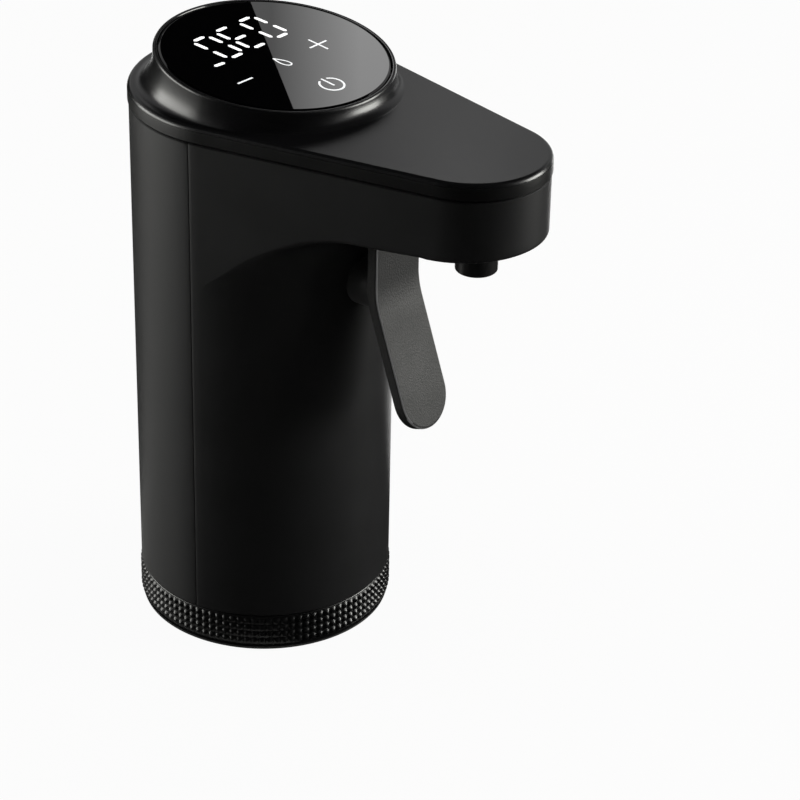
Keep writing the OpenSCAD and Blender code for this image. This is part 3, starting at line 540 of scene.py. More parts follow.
outer_plan = housing_plan(0)
columns = []
for number, (out, inn, edge) in enumerate(zip(outer_plan, housing_plan(WALL), housing_plan(TOP_EDGE))):
    trim = SEAM_BREAK if number in (0, len(outer_plan) - 1) else 0.0
    outer_side = section(out * (1 - trim / BODY_R), trim, EDGE_R, SHELL_TOP - TOP_EDGE)
    inner_side = section(inn, WALL, INNER_EDGE_R, SHELL_TOP)
    columns.append(outer_side + [(edge[0], edge[1], SHELL_TOP)] + inner_side[::-1])
columns = np.array(columns)
shell_faces = grid_faces(len(columns), columns.shape[1], wrap_rows=False, wrap_columns=True)
shell_faces.append(tuple(range(columns.shape[1])))
last = (len(columns) - 1) * columns.shape[1]
shell_faces.append(tuple(range(last, last + columns.shape[1]))[::-1])
housing_mesh = as_mesh("front_housing_shell", columns.reshape(-1, 3), shell_faces)
print("fillet starts at", round(fillet_z, 1), "mm and the shell has", len(housing_mesh.polygons), "faces")

# %% [markdown]
# The columns made above run from one seam round the tip to the other seam. The two outermost ones are
# set back a little, which gives each seam the fine broken edge of a moulded part. The shell ends just
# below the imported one, and that leaves the dark groove which runs round under the lid.
# Then the lever's slot and the nozzle's hole are cut out with the exact solver, because a slot that is
# cut keeps its crisp inner edge. The push button gets its bore in the same step. The lever's ears and
# the nozzle's collar are pieces of their own, set into the wall.

# %% Cutters and small solids
def block(name, x0, x1, y0, y1, z0, z1):
    ring = [(x0, y0), (x1, y0), (x1, y1), (x0, y1)]
    return ring_mesh(name, [[(x, y, z0) for x, y in ring], [(x, y, z1) for x, y in ring]], caps=True)


def drum(name, radius, z0, z1, centre=(0, 0), sides=64):
    rings = np.array([revolved([(radius, z)], sides)[0] for z in (z0, z1)])
    return ring_mesh(name, rings + np.array([centre[0], centre[1], 0]), caps=True)


def turned(name, profile, matrix, sides=96):
    """A closed profile of (radius, height) corners, revolved and moved into place."""
    return ring_mesh(name, placed(revolved(profile, sides), matrix), wrap_rows=True)


def slab(name, outline, y0, y1):
    """A closed (x, z) outline as a plate between two places along Y."""
    return ring_mesh(name, [[(x, y, z) for x, z in outline] for y in (y0, y1)], caps=True)


LEVER_W = 15.6
LEVER_T = 2.8
LEVER_X = 39.2
PIVOT = Vector((LEVER_X - LEVER_T / 2, 0, COVER_TOP - 11.7))
NOZZLE_X = 60.4
NOZZLE_R = 4.7
nozzle_bottom = under_z(NOZZLE_X) - 8.4
BUTTON_Z = 93.4
BUTTON_R = 6.1
LEVER_SWING = math.radians(7)
SWING_REACH, SWING_GAP = 6, 0.1
slot_swing = (PIVOT.z - under_z(PIVOT.x) + SWING_REACH) * math.tan(LEVER_SWING) + SWING_GAP
FIT_GAP = 0.06
BORE_FROM, BORE_TO = 22, 42
SLOT_SIDE_GAP, SLOT_FRONT_GAP = 0.3, 0.4
SLOT_DOWN, SLOT_ROOF = 16, 3.3
HOLE_TOP = COVER_TOP - 6

along_x = Matrix.Rotation(math.pi / 2, 4, "Y")
button_axis = Matrix.Translation((0, 0, BUTTON_Z)) @ along_x
button_bore = ring_mesh("bore", placed(revolved([(BUTTON_R + FIT_GAP, BORE_FROM),
                                                 (BUTTON_R + FIT_GAP, BORE_TO)], 64),
                                       button_axis), caps=True)
lever_slot = block("slot", LEVER_X - LEVER_T - slot_swing, LEVER_X + SLOT_FRONT_GAP,
                   -LEVER_W / 2 - SLOT_SIDE_GAP, LEVER_W / 2 + SLOT_SIDE_GAP,
                   PIVOT.z - SLOT_DOWN, PIVOT.z - SLOT_ROOF)
nozzle_hole = drum("hole", NOZZLE_R + FIT_GAP, nozzle_bottom, HOLE_TOP, (NOZZLE_X, 0))
housing_mesh = cut(housing_mesh, lever_slot, button_bore, nozzle_hole)
piece("housing_shell", housing_mesh, abs_satin, "housing", ["front_housing"])

EAR_AWAY, EAR_HALF_T, EAR_HALF_W = 1.55, 1.25, 3.6
EAR_FOOT, EAR_ROUND = 113.6, 3.5
for side, name in ((-1, "hinge_ear_near"), (1, "hinge_ear_far")):
    centre_y = side * (LEVER_W / 2 + EAR_AWAY)
    ear = rounded([(PIVOT.x - EAR_HALF_W, EAR_FOOT, 0.2), (PIVOT.x + EAR_HALF_W, EAR_FOOT, 0.2),
                   (PIVOT.x + EAR_HALF_W, PIVOT.z + EAR_HALF_W, EAR_ROUND),
                   (PIVOT.x - EAR_HALF_W, PIVOT.z + EAR_HALF_W, EAR_ROUND)], 8)
    piece(name, slab(name, ear, centre_y - EAR_HALF_T, centre_y + EAR_HALF_T), abs_satin, "housing",
          ["front_housing"])
COLLAR_R, COLLAR_LOW, COLLAR_HIGH = 7.5, 114.9, 117.6
collar = rounded([(NOZZLE_R + FIT_GAP, COLLAR_LOW, 0), (COLLAR_R, COLLAR_LOW, 0.3),
                  (COLLAR_R, COLLAR_HIGH, 0.3), (NOZZLE_R + FIT_GAP, COLLAR_HIGH, 0.2)])
piece("nozzle_collar", turned("nozzle_collar", collar, Matrix.Translation((NOZZLE_X, 0, 0))),
      abs_satin, "housing", ["front_housing"])

# %% [markdown]
# The rear cover is the plain part of the body. It is a curved wall with the same broken edges, and
# one slot low down for charging. The metal shell of the port sits inside that slot. The lid stands
# clear of both covers by one gap, and a finer one parts the two covers.

# %% Rear cover
SEAM_GAP = 0.2
SIDE_SEAM_GAP = 0.12
rear_start = SEAM + SIDE_SEAM_GAP / BODY_R
rear_end = 2 * math.pi - rear_start
rear_angles = np.concatenate([[rear_start], np.linspace(rear_start + SEAM_STRIP, rear_end - SEAM_STRIP, 97),
                              [rear_end]])
rear_columns = []
for number, angle in enumerate(rear_angles):
    outer = BODY_R - (SEAM_BREAK if number in (0, len(rear_angles) - 1) else 0)
    side = [(outer - FOOT_BREAK, COVER_BOTTOM), (outer, COVER_BOTTOM + FOOT_BREAK)]
    side += [(outer, z) for z in np.linspace(COVER_BOTTOM + 1, SHELL_TOP - 1, 13)]
    side += [(outer, SHELL_TOP - TOP_EDGE), (outer - TOP_EDGE, SHELL_TOP), (BODY_R - WALL, SHELL_TOP)]
    side += [(BODY_R - WALL, z) for z in np.linspace(SHELL_TOP - 1, COVER_BOTTOM, 9)]
    rear_columns.append([(r * math.cos(angle), r * math.sin(angle), z) for r, z in side])
rear_columns = np.array(rear_columns)
rear_faces = grid_faces(len(rear_columns), rear_columns.shape[1])
rear_faces.append(tuple(range(rear_columns.shape[1])))
last = (len(rear_columns) - 1) * rear_columns.shape[1]
rear_faces.append(tuple(range(last, last + rear_columns.shape[1]))[::-1])
rear_mesh = as_mesh("rear_cover_wall", rear_columns.reshape(-1, 3), rear_faces)
PORT_Z = 31.2
PORT_HALF_H, PORT_HALF_W, PORT_ROUND = 1.8, 4.7, 1.75
port_outline = rounded([(side_z * PORT_HALF_H, side_y * PORT_HALF_W, PORT_ROUND)
                        for side_z, side_y in ((-1, -1), (1, -1), (1, 1), (-1, 1))], 8)
port_cutter = ring_mesh("slot", [[(x, y, z + PORT_Z) for z, y in port_outline]
                                 for x in (-BODY_R - 2, -BODY_R + 4)], caps=True)
rear_mesh = cut(rear_mesh, port_cutter)
piece("rear_cover_wall", rear_mesh, abs_satin, "housing", ["rear_cover"])

# %% [markdown]
# The lid is one moulding with a rounded rim, a flat top and a foot that sweeps up to the display in
# a hollow curve, more on the front than at the back. It is lofted. Each ring has the same number of
# points as the plan outline, and the flare's rings blend from the foot line to the seat of the glass
# along a quarter wave, which leaves the flat top without a crease. Where the rim's wall ends, a
# narrow facet leans in before the rounding starts, and it mirrors the lights as a fine bright line.
# The flare ends in a thin lip that stands round the display. The rings go on down the pocket behind
# the lip, through the window and back along the underside, so that the lid has its real wall.

# %% Lid
LID_ROUND = 1.1
LID_WALL = 2.0
LID_PROUD = 0.25
LID_TALL = 4.1
LID_BREAK = 0.25
LID_BAND = 1.2
FACET_FOOT, FACET_IN, FACET_UP = 0.01, 0.13, 0.36
ROUND_ROWS, FLARE_ROWS = 11, 30
lid_bottom = COVER_TOP + SEAM_GAP
lid_top = COVER_TOP + LID_TALL
GLASS_R = 25.75
GLASS_T = 1.6
GLASS_TILT = math.radians(6.8)
GLASS_FORWARD, GLASS_UP = 3.5, 7
glass_place = (Matrix.Translation((GLASS_FORWARD, 0, lid_top + GLASS_UP))
               @ Matrix.Rotation(GLASS_TILT, 4, "Y"))
GLASS_GAP, BEZEL_T, POCKET_GAP, LIP_T = 0.1, 0.7, 0.05, 0.4
BEZEL_R = GLASS_R + GLASS_GAP + BEZEL_T
POCKET_R = BEZEL_R + POCKET_GAP
LIP_R = POCKET_R + LIP_T
WINDOW_R = 24.2
RIM_MARGIN, FOOT_MARGIN, FRONT_FLARE = 0.4, 0.3, 4.5
back_angles = np.linspace(body_tangent, math.pi, 73)[1:]


def lid_plan(inset):
    return np.array(mirrored(outline_half(inset - LID_PROUD, 24, 44, back_angles), closed=True))


def level(plan, z):
    return np.column_stack([plan, np.full(len(plan), z)])


rim = lid_plan(LID_ROUND + RIM_MARGIN)
rim_reach = np.linalg.norm(rim, axis=1)
rim_way = rim / rim_reach[:, None]
foot_reach = BODY_R - LID_ROUND - FOOT_MARGIN + FRONT_FLARE * np.clip(rim_way[:, 0], 0, None) ** 2
foot = level(rim_way * np.minimum(rim_reach, foot_reach)[:, None], lid_top)
around = np.arctan2(foot[:, 1], foot[:, 0] - GLASS_FORWARD)


def glass_ring(radius, height):
    """A ring about the axis of the tilted glass, with heights counted from its face."""
    circle = np.column_stack([radius * np.cos(around), radius * np.sin(around)])
    return placed([level(circle, height)], glass_place)[0]


SEAT_DROP = 0.42
seat = glass_ring(LIP_R, -SEAT_DROP)
window_top = glass_ring(WINDOW_R, -GLASS_T)
window_low = window_top - np.outer((window_top[:, 2] - lid_top + LID_WALL) / math.cos(GLASS_TILT),
                                   [math.sin(GLASS_TILT), 0, math.cos(GLASS_TILT)])
lid_rings = [level(lid_plan(LID_BREAK), lid_bottom), level(lid_plan(0.0), lid_bottom + LID_BREAK),
             level(lid_plan(0.0), lid_bottom + LID_BAND),
             level(lid_plan(FACET_FOOT), lid_top - LID_ROUND)]
facet_foot, facet_head = np.array([0.0, LID_ROUND]), np.array([FACET_IN, LID_ROUND - FACET_UP])
crown = facet_head + (facet_head - facet_foot) * facet_head[1] / (facet_foot - facet_head)[1]
for s in np.linspace(0, 1, ROUND_ROWS):
    inset, drop = ((1 - s) ** 2 * facet_head + 2 * s * (1 - s) * np.array([crown[0], 0.0])
                   + s ** 2 * np.array([LID_ROUND, 0.0]))
    lid_rings.append(level(lid_plan(inset), lid_top - drop))
for s in np.linspace(0, 1, FLARE_ROWS):
    along, rise = math.sin(math.pi / 2 * s), 1 - math.cos(math.pi / 2 * s)
    lid_rings.append(foot + (seat - foot) * np.array([along, along, rise]))
lid_inside = lid_plan(WALL + LID_PROUD)
lid_rings += [glass_ring(LIP_R - 0.15, -0.12), glass_ring(LIP_R - 0.22, -0.06),
              glass_ring(POCKET_R + 0.1, -0.06), glass_ring(POCKET_R, -0.15),
              glass_ring(POCKET_R, -GLASS_T), window_top, window_low,
              level(lid_inside, lid_top - LID_WALL), level(lid_inside, lid_bottom)]
lid_mesh = ring_mesh("lid_shell", lid_rings, wrap_rows=True)
piece("lid_shell", lid_mesh, abs_lid, "housing", ["top_cover"])
lid_mesh.materials.append(lid_wall_dull_painted_shade)
# The lid's upright wall faces get the darker copy of its colour, a painted shade, as well as the duller
# finish.
UPRIGHT = 0.1
for face in lid_mesh.polygons:
    if abs(face.normal.z) < UPRIGHT and face.center.z < (lid_top - LID_ROUND) * MM:
        face.material_index = 1

# Under the lid a skirt locates it inside the covers. Its faces are given as insets from their wall.
SKIRT_OUT, SKIRT_IN, SKIRT_SINK, SKIRT_DEPTH, SKIRT_CORNER = 0.2, 1.5, 0.2, 2.6, 0.2
skirt_in, skirt_out = lid_plan(WALL + SKIRT_IN + LID_PROUD), lid_plan(WALL + SKIRT_OUT + LID_PROUD)
skirt_top = lid_top - LID_WALL + SKIRT_SINK
skirt = [level(skirt_out, skirt_top), level(skirt_out, lid_bottom - SKIRT_DEPTH + SKIRT_CORNER),
         level(skirt_in + (skirt_out - skirt_in) * 0.85, lid_bottom - SKIRT_DEPTH),
         level(skirt_in, lid_bottom - SKIRT_DEPTH), level(skirt_in, skirt_top)]
piece("lid_lip", ring_mesh("lid_lip", skirt, wrap_rows=True), abs_lid, "housing", ["top_cover"])
print("lid top at", round(lid_top, 1), "mm, glass centre at", round(glass_place.translation.z, 1), "mm")

# %% [markdown]
# The display is a black disc of tempered glass with a ground edge, held by a narrow polished ring.
# Both are turned shapes, so each is a profile that is revolved about the axis of the tilted glass.
# The small radius on the glass edge and the two on the ring catch the bright hairlines.

# %% Glass and bezel
GROUND_IN, GROUND_DOWN = 0.42, 0.3
glass_profile = rounded([(0, -GLASS_T, 0), (GLASS_R, -GLASS_T, 0), (GLASS_R, -GROUND_DOWN, 0.08),
                         (GLASS_R - GROUND_IN, 0, 0.12), (0, 0, 0)], 4)
piece("glass_disc", ring_mesh("glass_disc", placed(revolved(glass_profile, 180), glass_place)),
      glass_black, "housing", ["display_glass"], angle=40)
bezel_profile = rounded([(GLASS_R + GLASS_GAP, -GLASS_T, 0), (BEZEL_R, -GLASS_T, 0.1), (BEZEL_R, -0.1, 0.1),
                         (GLASS_R + 0.42, -0.1, 0.06), (GLASS_R + 0.13, -0.65, 0.1)], 5)
piece("bezel_ring", turned("bezel_ring", bezel_profile, glass_place, 180), abs_polished, "housing",
      ["display_bezel"], angle=50)

# %% [markdown]
# The lit marks are seven segment digits and line icons. They are drawn flat in millimetres on the
# glass, to the right and up as the user reads them, and raised by a fiftieth of a millimetre, so
# that they lie on the glass and never flicker through it. A segment is a bar with pointed ends.

# %% Marks on the glass
def bar(x0, y0, x1, y1, width):
    """A six-sided stroke with pointed ends."""
    way = np.array([x1 - x0, y1 - y0], float)
    way /= np.linalg.norm(way)
    across = np.array([-way[1], way[0]]) * width / 2
    a, b = np.array([x0, y0]), np.array([x1, y1])
    nip = way * width / 2
    return [a, a + nip + across, b - nip + across, b, b - nip - across, a + nip - across]


def strip(points, width, closed=False):
    """Quads that follow a line, each with a constant width."""
    points = [np.array(p, float) for p in points]
    count = len(points)
    sides = []
    for k, here in enumerate(points):
        before = points[k - 1] if closed or k else here
        after = points[(k + 1) % count] if closed or k < count - 1 else here
        way = (after - before) / np.linalg.norm(after - before)
        across = np.array([-way[1], way[0]]) * width / 2
        sides.append((here + across, here - across))
    return [[sides[k][0], sides[(k + 1) % count][0], sides[(k + 1) % count][1], sides[k][1]]
            for k in range(count if closed else count - 1)]


def marks(name, outlines, material, low=0.002, high=0.02):
    points, faces = [], []
    for outline in outlines:
        first, size = len(points), len(outline)
        for height in (low, high):
            points += [glass_place @ Vector((-v, u, height)) for u, v in outline]
        faces.append(tuple(range(first + size, first + 2 * size)))
        faces += [(first + k, first + (k + 1) % size, first + size + (k + 1) % size, first + size + k)
                  for k in range(size)]
    mesh = bpy.data.meshes.new(name)
    mesh.from_pydata([tuple(p * MM) for p in points], [], faces)
    flipped = bmesh.new()
    flipped.from_mesh(mesh)
    bmesh.ops.recalc_face_normals(flipped, faces=flipped.faces)
    flipped.to_mesh(mesh)
    flipped.free()
    made = piece(name, mesh, material, "housing", angle=1, weighted=False)


DIGIT_HALF_W, DIGIT_HALF_H = 2.45, 5.3
STROKE = 0.95
SEGMENT_GAP = 0.7
LEAN_LEFT = 0.07
DIGIT_UP = 10.1
SEGMENTS = {"a": (-1, 1, 1, 1), "b": (1, 1, 1, 0), "c": (1, 0, 1, -1), "d": (-1, -1, 1, -1),
            "e": (-1, 0, -1, -1), "f": (-1, 1, -1, 0), "g": (-1, 0, 1, 0)}


def digit(centre, lit):
    outlines = []
    for letter in lit:
        start, end = np.array(SEGMENTS[letter], float).reshape(2, 2) * [DIGIT_HALF_W, DIGIT_HALF_H]
        gap = (end - start) / np.linalg.norm(end - start) * SEGMENT_GAP
        shape = bar(*(start + gap), *(end - gap), STROKE)
        outlines.append([(centre + p[0] - LEAN_LEFT * p[1], DIGIT_UP + p[1]) for p in shape])
    return outlines


DIGITS = ((-7.6, "abcdef"), (-0.1, "adefg"), (7.65, "abcdef"))
LOW_BAR, LOW_BAR_WIDTH = (-15.1, 4.55, -11.9, 4.25), 0.9
lit_digits = [outline for centre, lit in DIGITS for outline in digit(centre, lit)]
marks("digits_lit", lit_digits + [bar(*LOW_BAR, LOW_BAR_WIDTH)], digit_light)

ICON_LINE, DROP_LINE = 0.46, 0.36
MINUS = [(-17.1, -4.05), (-12.5, -4.25)]
PLUS_ACROSS, PLUS_UP = [(8.2, -3.15), (13.9, -3.15)], [(11.05, -6.0), (11.05, -0.3)]
DROP_X, DROP_Y, DROP_HALF_W, DROP_HALF_H = -1.7, -3.5, 1.25, 2.2
DROP_TAPER, DROP_LEAN = 0.62, 0.2
POWER_X, POWER_Y, POWER_R = -1.15, -17.3, 2.75
POWER_GAP = 24
POWER_STEM = [(POWER_X, -14.2), (POWER_X, -18.0)]
icon = strip(MINUS, ICON_LINE) + strip(PLUS_ACROSS, ICON_LINE) + strip(PLUS_UP, ICON_LINE)
drop = []
for a in np.linspace(0, 2 * math.pi, 40, endpoint=False):
    across = DROP_HALF_W * math.sin(a) * (0.5 - 0.5 * math.cos(a)) ** DROP_TAPER
    up = DROP_HALF_H * math.cos(a)
    drop.append((DROP_X + across - DROP_LEAN * up, DROP_Y + up))
icon += strip(drop, DROP_LINE, closed=True)
power = [(POWER_X + POWER_R * math.sin(a), POWER_Y + POWER_R * math.cos(a))
         for a in np.radians(np.linspace(POWER_GAP, 360 - POWER_GAP, 36))]
icon += strip(power, ICON_LINE) + strip(POWER_STEM, ICON_LINE)
marks("icons_lit", icon, icon_light)

# %% [markdown]
# The twist ring squeezes the seal inside the foot, so its outer face is knurled for wet fingers.
# The knurl is made of small rounded studs in straight rows. The outer face is a fine grid over angle
# and height. Each stud takes five grid lines each way, and the first of them lies in the valley. A
# point is lifted by the product of two shares, one for its angle and one for its height, which rounds
# the stud both ways.

# %% Twist ring
RING_R = BODY_R + 0.25
RING_T = 6.35
HUB_R = RING_R - RING_T
KNURL = 0.55
STUDS, ROWS = 106, 4
ring_bottom, ring_top = 0.85, COVER_BOTTOM - 0.2
knurl_low, knurl_high = ring_bottom + 0.45, ring_top - 0.65
row_h = (knurl_high - knurl_low) / ROWS
# Places across a stud, as shares of its width from its middle, each with its share of the lift.
STUD_STEPS = ((-0.5, 0.0), (-0.32, 0.6), (-0.14, 1.0), (0.14, 1.0), (0.32, 0.6))
turn_steps = [(i + s, lift) for i in range(STUDS) for s, lift in STUD_STEPS]
height_steps = [(knurl_low + (k + 0.5 + s) * row_h, lift)
                for k in range(ROWS) for s, lift in STUD_STEPS]
height_steps.append((knurl_high, 0.0))
valley = RING_R - KNURL


def ring_row(radius, z, row_lift=0.0):
    return [((radius + KNURL * row_lift * lift) * math.cos(2 * math.pi * t / STUDS),
             (radius + KNURL * row_lift * lift) * math.sin(2 * math.pi * t / STUDS), z)
            for t, lift in turn_steps]


below_knurl = [(HUB_R + FIT_GAP, ring_bottom), (valley - 0.4, ring_bottom),
               (valley - 0.1, ring_bottom + 0.12)]
above_knurl = [(valley + 0.1, ring_top - 0.5), (valley + 0.1, ring_top - 0.36),
               (valley - 0.05, ring_top - 0.12), (valley - 0.4, ring_top), (HUB_R + FIT_GAP, ring_top)]
ring_rows = [ring_row(radius, z) for radius, z in below_knurl]
ring_rows += [ring_row(valley, z, row_lift) for z, row_lift in height_steps]
ring_rows += [ring_row(radius, z) for radius, z in above_knurl]
piece("knurled_ring", ring_mesh("knurled_ring", ring_rows, wrap_rows=True), abs_knurl, "ring",
      ["twist_ring"], angle=40, weighted=False)

# %% [markdown]
# The lever is a flat bar, 15.6 by 2.8 mm, that hangs straight down, bends forward and ends round.
# One function gives the place of every length, width and depth on the bent bar. The cross-sections
# are then laid along the outline, each with its edge radii, so that they run down both sides and
# round the end alike. The faces of the front radius get a pale grey colour, a painted highlight.

# %% Lever
LEAN = math.radians(19.2)
BEND_R = 20.0
LOW_LENGTH = 29.2
BEND_DROP = 0.5
FRONT_EDGE_R, BACK_EDGE_R = 0.7, 0.5
bend_x = LEVER_X + BEND_R
bend_z = BUTTON_Z - BEND_DROP + BEND_R * math.tan(LEAN / 2)
straight = PIVOT.z - bend_z
bend_length = BEND_R * LEAN
lever_length = straight + bend_length + LOW_LENGTH


def lever_point(s, y, depth):
    """A point at a length down from the pivot, a width from the middle and a depth behind the front."""
    if s <= straight:
        return (LEVER_X - depth, y, PIVOT.z - s)
    turn = min((s - straight) / BEND_R, LEAN)
    rest = max(s - straight - bend_length, 0)
    away = BEND_R + depth
    return (bend_x - away * math.cos(turn) + rest * math.sin(turn), y,
            bend_z - away * math.sin(turn) - rest * math.cos(turn))


half_w = LEVER_W / 2
edge_line = [(s, half_w, 0.0, 1.0) for s in np.linspace(0, lever_length - half_w, 60)]
edge_line += [(lever_length - half_w + half_w * math.sin(a), half_w * math.cos(a), math.sin(a), math.cos(a))
              for a in np.linspace(0, math.pi / 2, 28)[1:]]
edge_steps = [(FRONT_EDGE_R * (1 - math.sin(a)), FRONT_EDGE_R * (1 - math.cos(a)))
              for a in np.linspace(0, math.pi / 2, 6)]
edge_steps += [(BACK_EDGE_R * (1 - math.sin(a)), LEVER_T - BACK_EDGE_R * (1 - math.cos(a)))
               for a in np.linspace(math.pi / 2, 0, 5)]
lever_rings = []
for s, y, way_s, way_y in edge_line:
    one_side = [lever_point(s - inset * way_s, max(y - inset * way_y, 0), depth)
                for inset, depth in edge_steps]
    lever_rings.append(one_side + [(x, -y2, z) for x, y2, z in one_side[::-1]])
lever_rings = np.array(lever_rings)
lever_faces = grid_faces(len(lever_rings), lever_rings.shape[1])
lever_faces.append(tuple(range(lever_rings.shape[1])))
lever_mesh = as_mesh("lever_bar", lever_rings.reshape(-1, 3), lever_faces)
piece("lever_bar", lever_mesh, abs_lever, "lever", ["trigger_lever"])
lever_mesh.materials.append(lever_edge_painted_highlight)
# The faces of the front edge radius get the pale material, a painted highlight along the edge.
TURNED_AWAY, STILL_FRONT = 0.55, 0.93
face_ways = [Vector((1, 0, 0)), Vector((math.cos(LEAN), 0, math.sin(LEAN)))]
for face in lever_mesh.polygons:
    if TURNED_AWAY < max(face.normal @ way for way in face_ways) < STILL_FRONT:
        face.material_index = 1
EYE_BORE_R, EYE_R = 1.56, 3.3
eye = rounded([(EYE_BORE_R, -half_w, 0), (EYE_R, -half_w, 0.3), (EYE_R, half_w, 0.3),
               (EYE_BORE_R, half_w, 0)], 4)
across_y = Matrix.Translation(PIVOT) @ Matrix.Rotation(math.pi / 2, 4, "X")
piece("lever_eye", turned("lever_eye", eye, across_y, 64), abs_lever, "lever", ["trigger_lever"])

# %% [markdown]
# The nozzle is a short, fairly glossy tube with a rounded mouth and a flange that holds it inside the
# head. The push button fills the space between the body and the lever, so its side is what shows
# beside the lever. A flange behind the wall keeps it in.

# %% Nozzle and button
FLANGE_R, FLANGE_T, FLANGE_GAP = 6.4, 1.6, 0.6
MOUTH_R, SPOUT_BORE_R, MOUTH_DEPTH = 2.25, 3.4, 3
seat_z = under_z(NOZZLE_X + TIP_R) + WALL + FLANGE_GAP
spout = rounded([(MOUTH_R, nozzle_bottom, 0.3), (NOZZLE_R, nozzle_bottom, 0.5), (NOZZLE_R, seat_z, 0.1),
                 (FLANGE_R, seat_z, 0.2), (FLANGE_R, seat_z + FLANGE_T, 0.2),
                 (SPOUT_BORE_R, seat_z + FLANGE_T, 0.1), (SPOUT_BORE_R, nozzle_bottom + MOUTH_DEPTH, 0.1),
                 (MOUTH_R, nozzle_bottom + MOUTH_DEPTH, 0.1)], 5)
piece("nozzle_tube", turned("nozzle_tube", spout, Matrix.Translation((NOZZLE_X, 0, 0)), 80),
      abs_nozzle, "housing", ["nozzle"])
SHANK_R, SHANK_END = 1.6, 18
STOP_BACK, STOP_FRONT, STOP_R = 25.6, 26.9, BUTTON_R + 0.45
BUTTON_FACE, BUTTON_ROUND = 36.28, 0.6
plunger = rounded([(0, SHANK_END, 0), (SHANK_R, SHANK_END, 0.1), (SHANK_R, STOP_BACK, 0),
                   (STOP_R, STOP_BACK, 0.1), (STOP_R, STOP_FRONT, 0.2), (BUTTON_R, STOP_FRONT, 0),
                   (BUTTON_R, BUTTON_FACE, BUTTON_ROUND), (0, BUTTON_FACE, 0)], 6)
piece("push_button", ring_mesh("push_button", placed(revolved(plunger, 72), button_axis)),
      silicone_black, "button", ["trigger_button"])

# %% [markdown]
# The stage is a white table under a white sky, as in a product studio. The camera sees both as
# nearly plain white, and the table keeps a trace of the object's soft shadow. As a light and in
# mirrors the sky is dimmer than that, so its shader asks which kind of ray has come to it. The object
# is almost black, so its shape is drawn by what it reflects, and that is set up in the last step.

# %% Sky
SKY_LIGHT, SKY_MIRRORED = 0.1, 0.45
world = bpy.data.worlds.new("studio_sky")
bpy.context.scene.world = world
world.use_nodes = True
sky = world.node_tree
sky.nodes.clear()
rays = add_node(sky, "ShaderNodeLightPath")
mirror_ray = add_node(sky, "ShaderNodeMath", {0: rays.outputs["Is Glossy Ray"],
                                              1: rays.outputs["Is Transmission Ray"]}, operation="MAXIMUM")
dim_white = add_node(sky, "ShaderNodeBackground", {"Color": linear("#ffffff"), "Strength": SKY_LIGHT})
mirror_white = add_node(sky, "ShaderNodeBackground",
                        {"Color": linear("#ffffff"), "Strength": SKY_MIRRORED})
plain_white = add_node(sky, "ShaderNodeBackground", {"Color": linear("#ffffff"), "Strength": 1.0})
for_mirrors = add_node(sky, "ShaderNodeMixShader", {0: mirror_ray.outputs[0],
                                                    1: dim_white.outputs[0], 2: mirror_white.outputs[0]})
for_camera = add_node(sky, "ShaderNodeMixShader", {0: rays.outputs["Is Camera Ray"],
                                                   1: for_mirrors.outputs[0], 2: plain_white.outputs[0]})
add_node(sky, "ShaderNodeOutputWorld", {"Surface": for_camera.outputs[0]})
print("sky brightness as a light:", SKY_LIGHT, "and in mirrors:", SKY_MIRRORED)

# %% Table
TABLE_HALF, TABLE_DROP = 3000, 0.1
TABLE_WHITE = 0.95
table_material, tree = new_material("laminate_white_table")
rays = add_node(tree, "ShaderNodeLightPath")
place = add_node(tree, "ShaderNodeTexCoord").outputs["Object"]
speckle = add_node(tree, "ShaderNodeTexNoise", {"Vector": place, "Scale": 1 / (2 * MM), "Detail": 2.0})
shade = add_node(tree, "ShaderNodeMix", {"Factor": speckle.outputs["Fac"], "A": linear("#e4e4e4"),
                                         "B": linear("#eaeaea")}, data_type="RGBA")
matt = add_node(tree, "ShaderNodeBsdfDiffuse", {"Color": shade.outputs["Result"]})
white = add_node(tree, "ShaderNodeEmission", {"Color": linear("#ffffff"), "Strength": 1.0})
share = add_node(tree, "ShaderNodeMath", {0: rays.outputs["Is Camera Ray"], 1: TABLE_WHITE},
                 operation="MULTIPLY")
table_shader = add_node(tree, "ShaderNodeMixShader", {0: share.outputs[0], 1: matt.outputs[0],
                                                      2: white.outputs[0]})
add_node(tree, "ShaderNodeOutputMaterial", {"Surface": table_shader.outputs[0]})
corner_ways = ((-1, -1), (1, -1), (1, 1), (-1, 1))
table_mesh = as_mesh("table_top", [(x * TABLE_HALF, y * TABLE_HALF, -TABLE_DROP) for x, y in corner_ways],
                     [(0, 1, 2, 3)])
table_top = bpy.data.objects.new("table_top", table_mesh)
table_mesh.materials.append(table_material)
bpy.context.scene.collection.objects.link(table_top)
print("table side in mm:", 2 * TABLE_HALF)

# %% [markdown]
# Directions on the stage are given as the photographer would: degrees round from the camera, to its
# right as a plus, and degrees above the table. A light's strength is given as its brightness, and
# the lamp's power follows from its area, so a lamp can be made larger without growing brighter.
# Two wide soft boxes stand low at the left and the right. A lamp that isn't mirrored only fills the
# shadows. The cards are the other way round: they are only seen in mirrors. Dark ones lie on the
# table, stand in front and behind and hang overhead, and keep the black shell black. One bright panel
# is mirrored by the display, and a white card lies on the table behind the object.

# %% Lights and cards
def stage_direction(bearing, height):
    a, e = AZIMUTH + math.radians(bearing), math.radians(height)
    return Vector((math.sin(a) * math.cos(e), -math.cos(a) * math.cos(e), math.sin(e)))


stage_centre = Vector((10, 0, 80)) * MM
# Lamp colours are linear numbers already.
LAMP_COLOUR = (1.0, 1.0, 0.95)


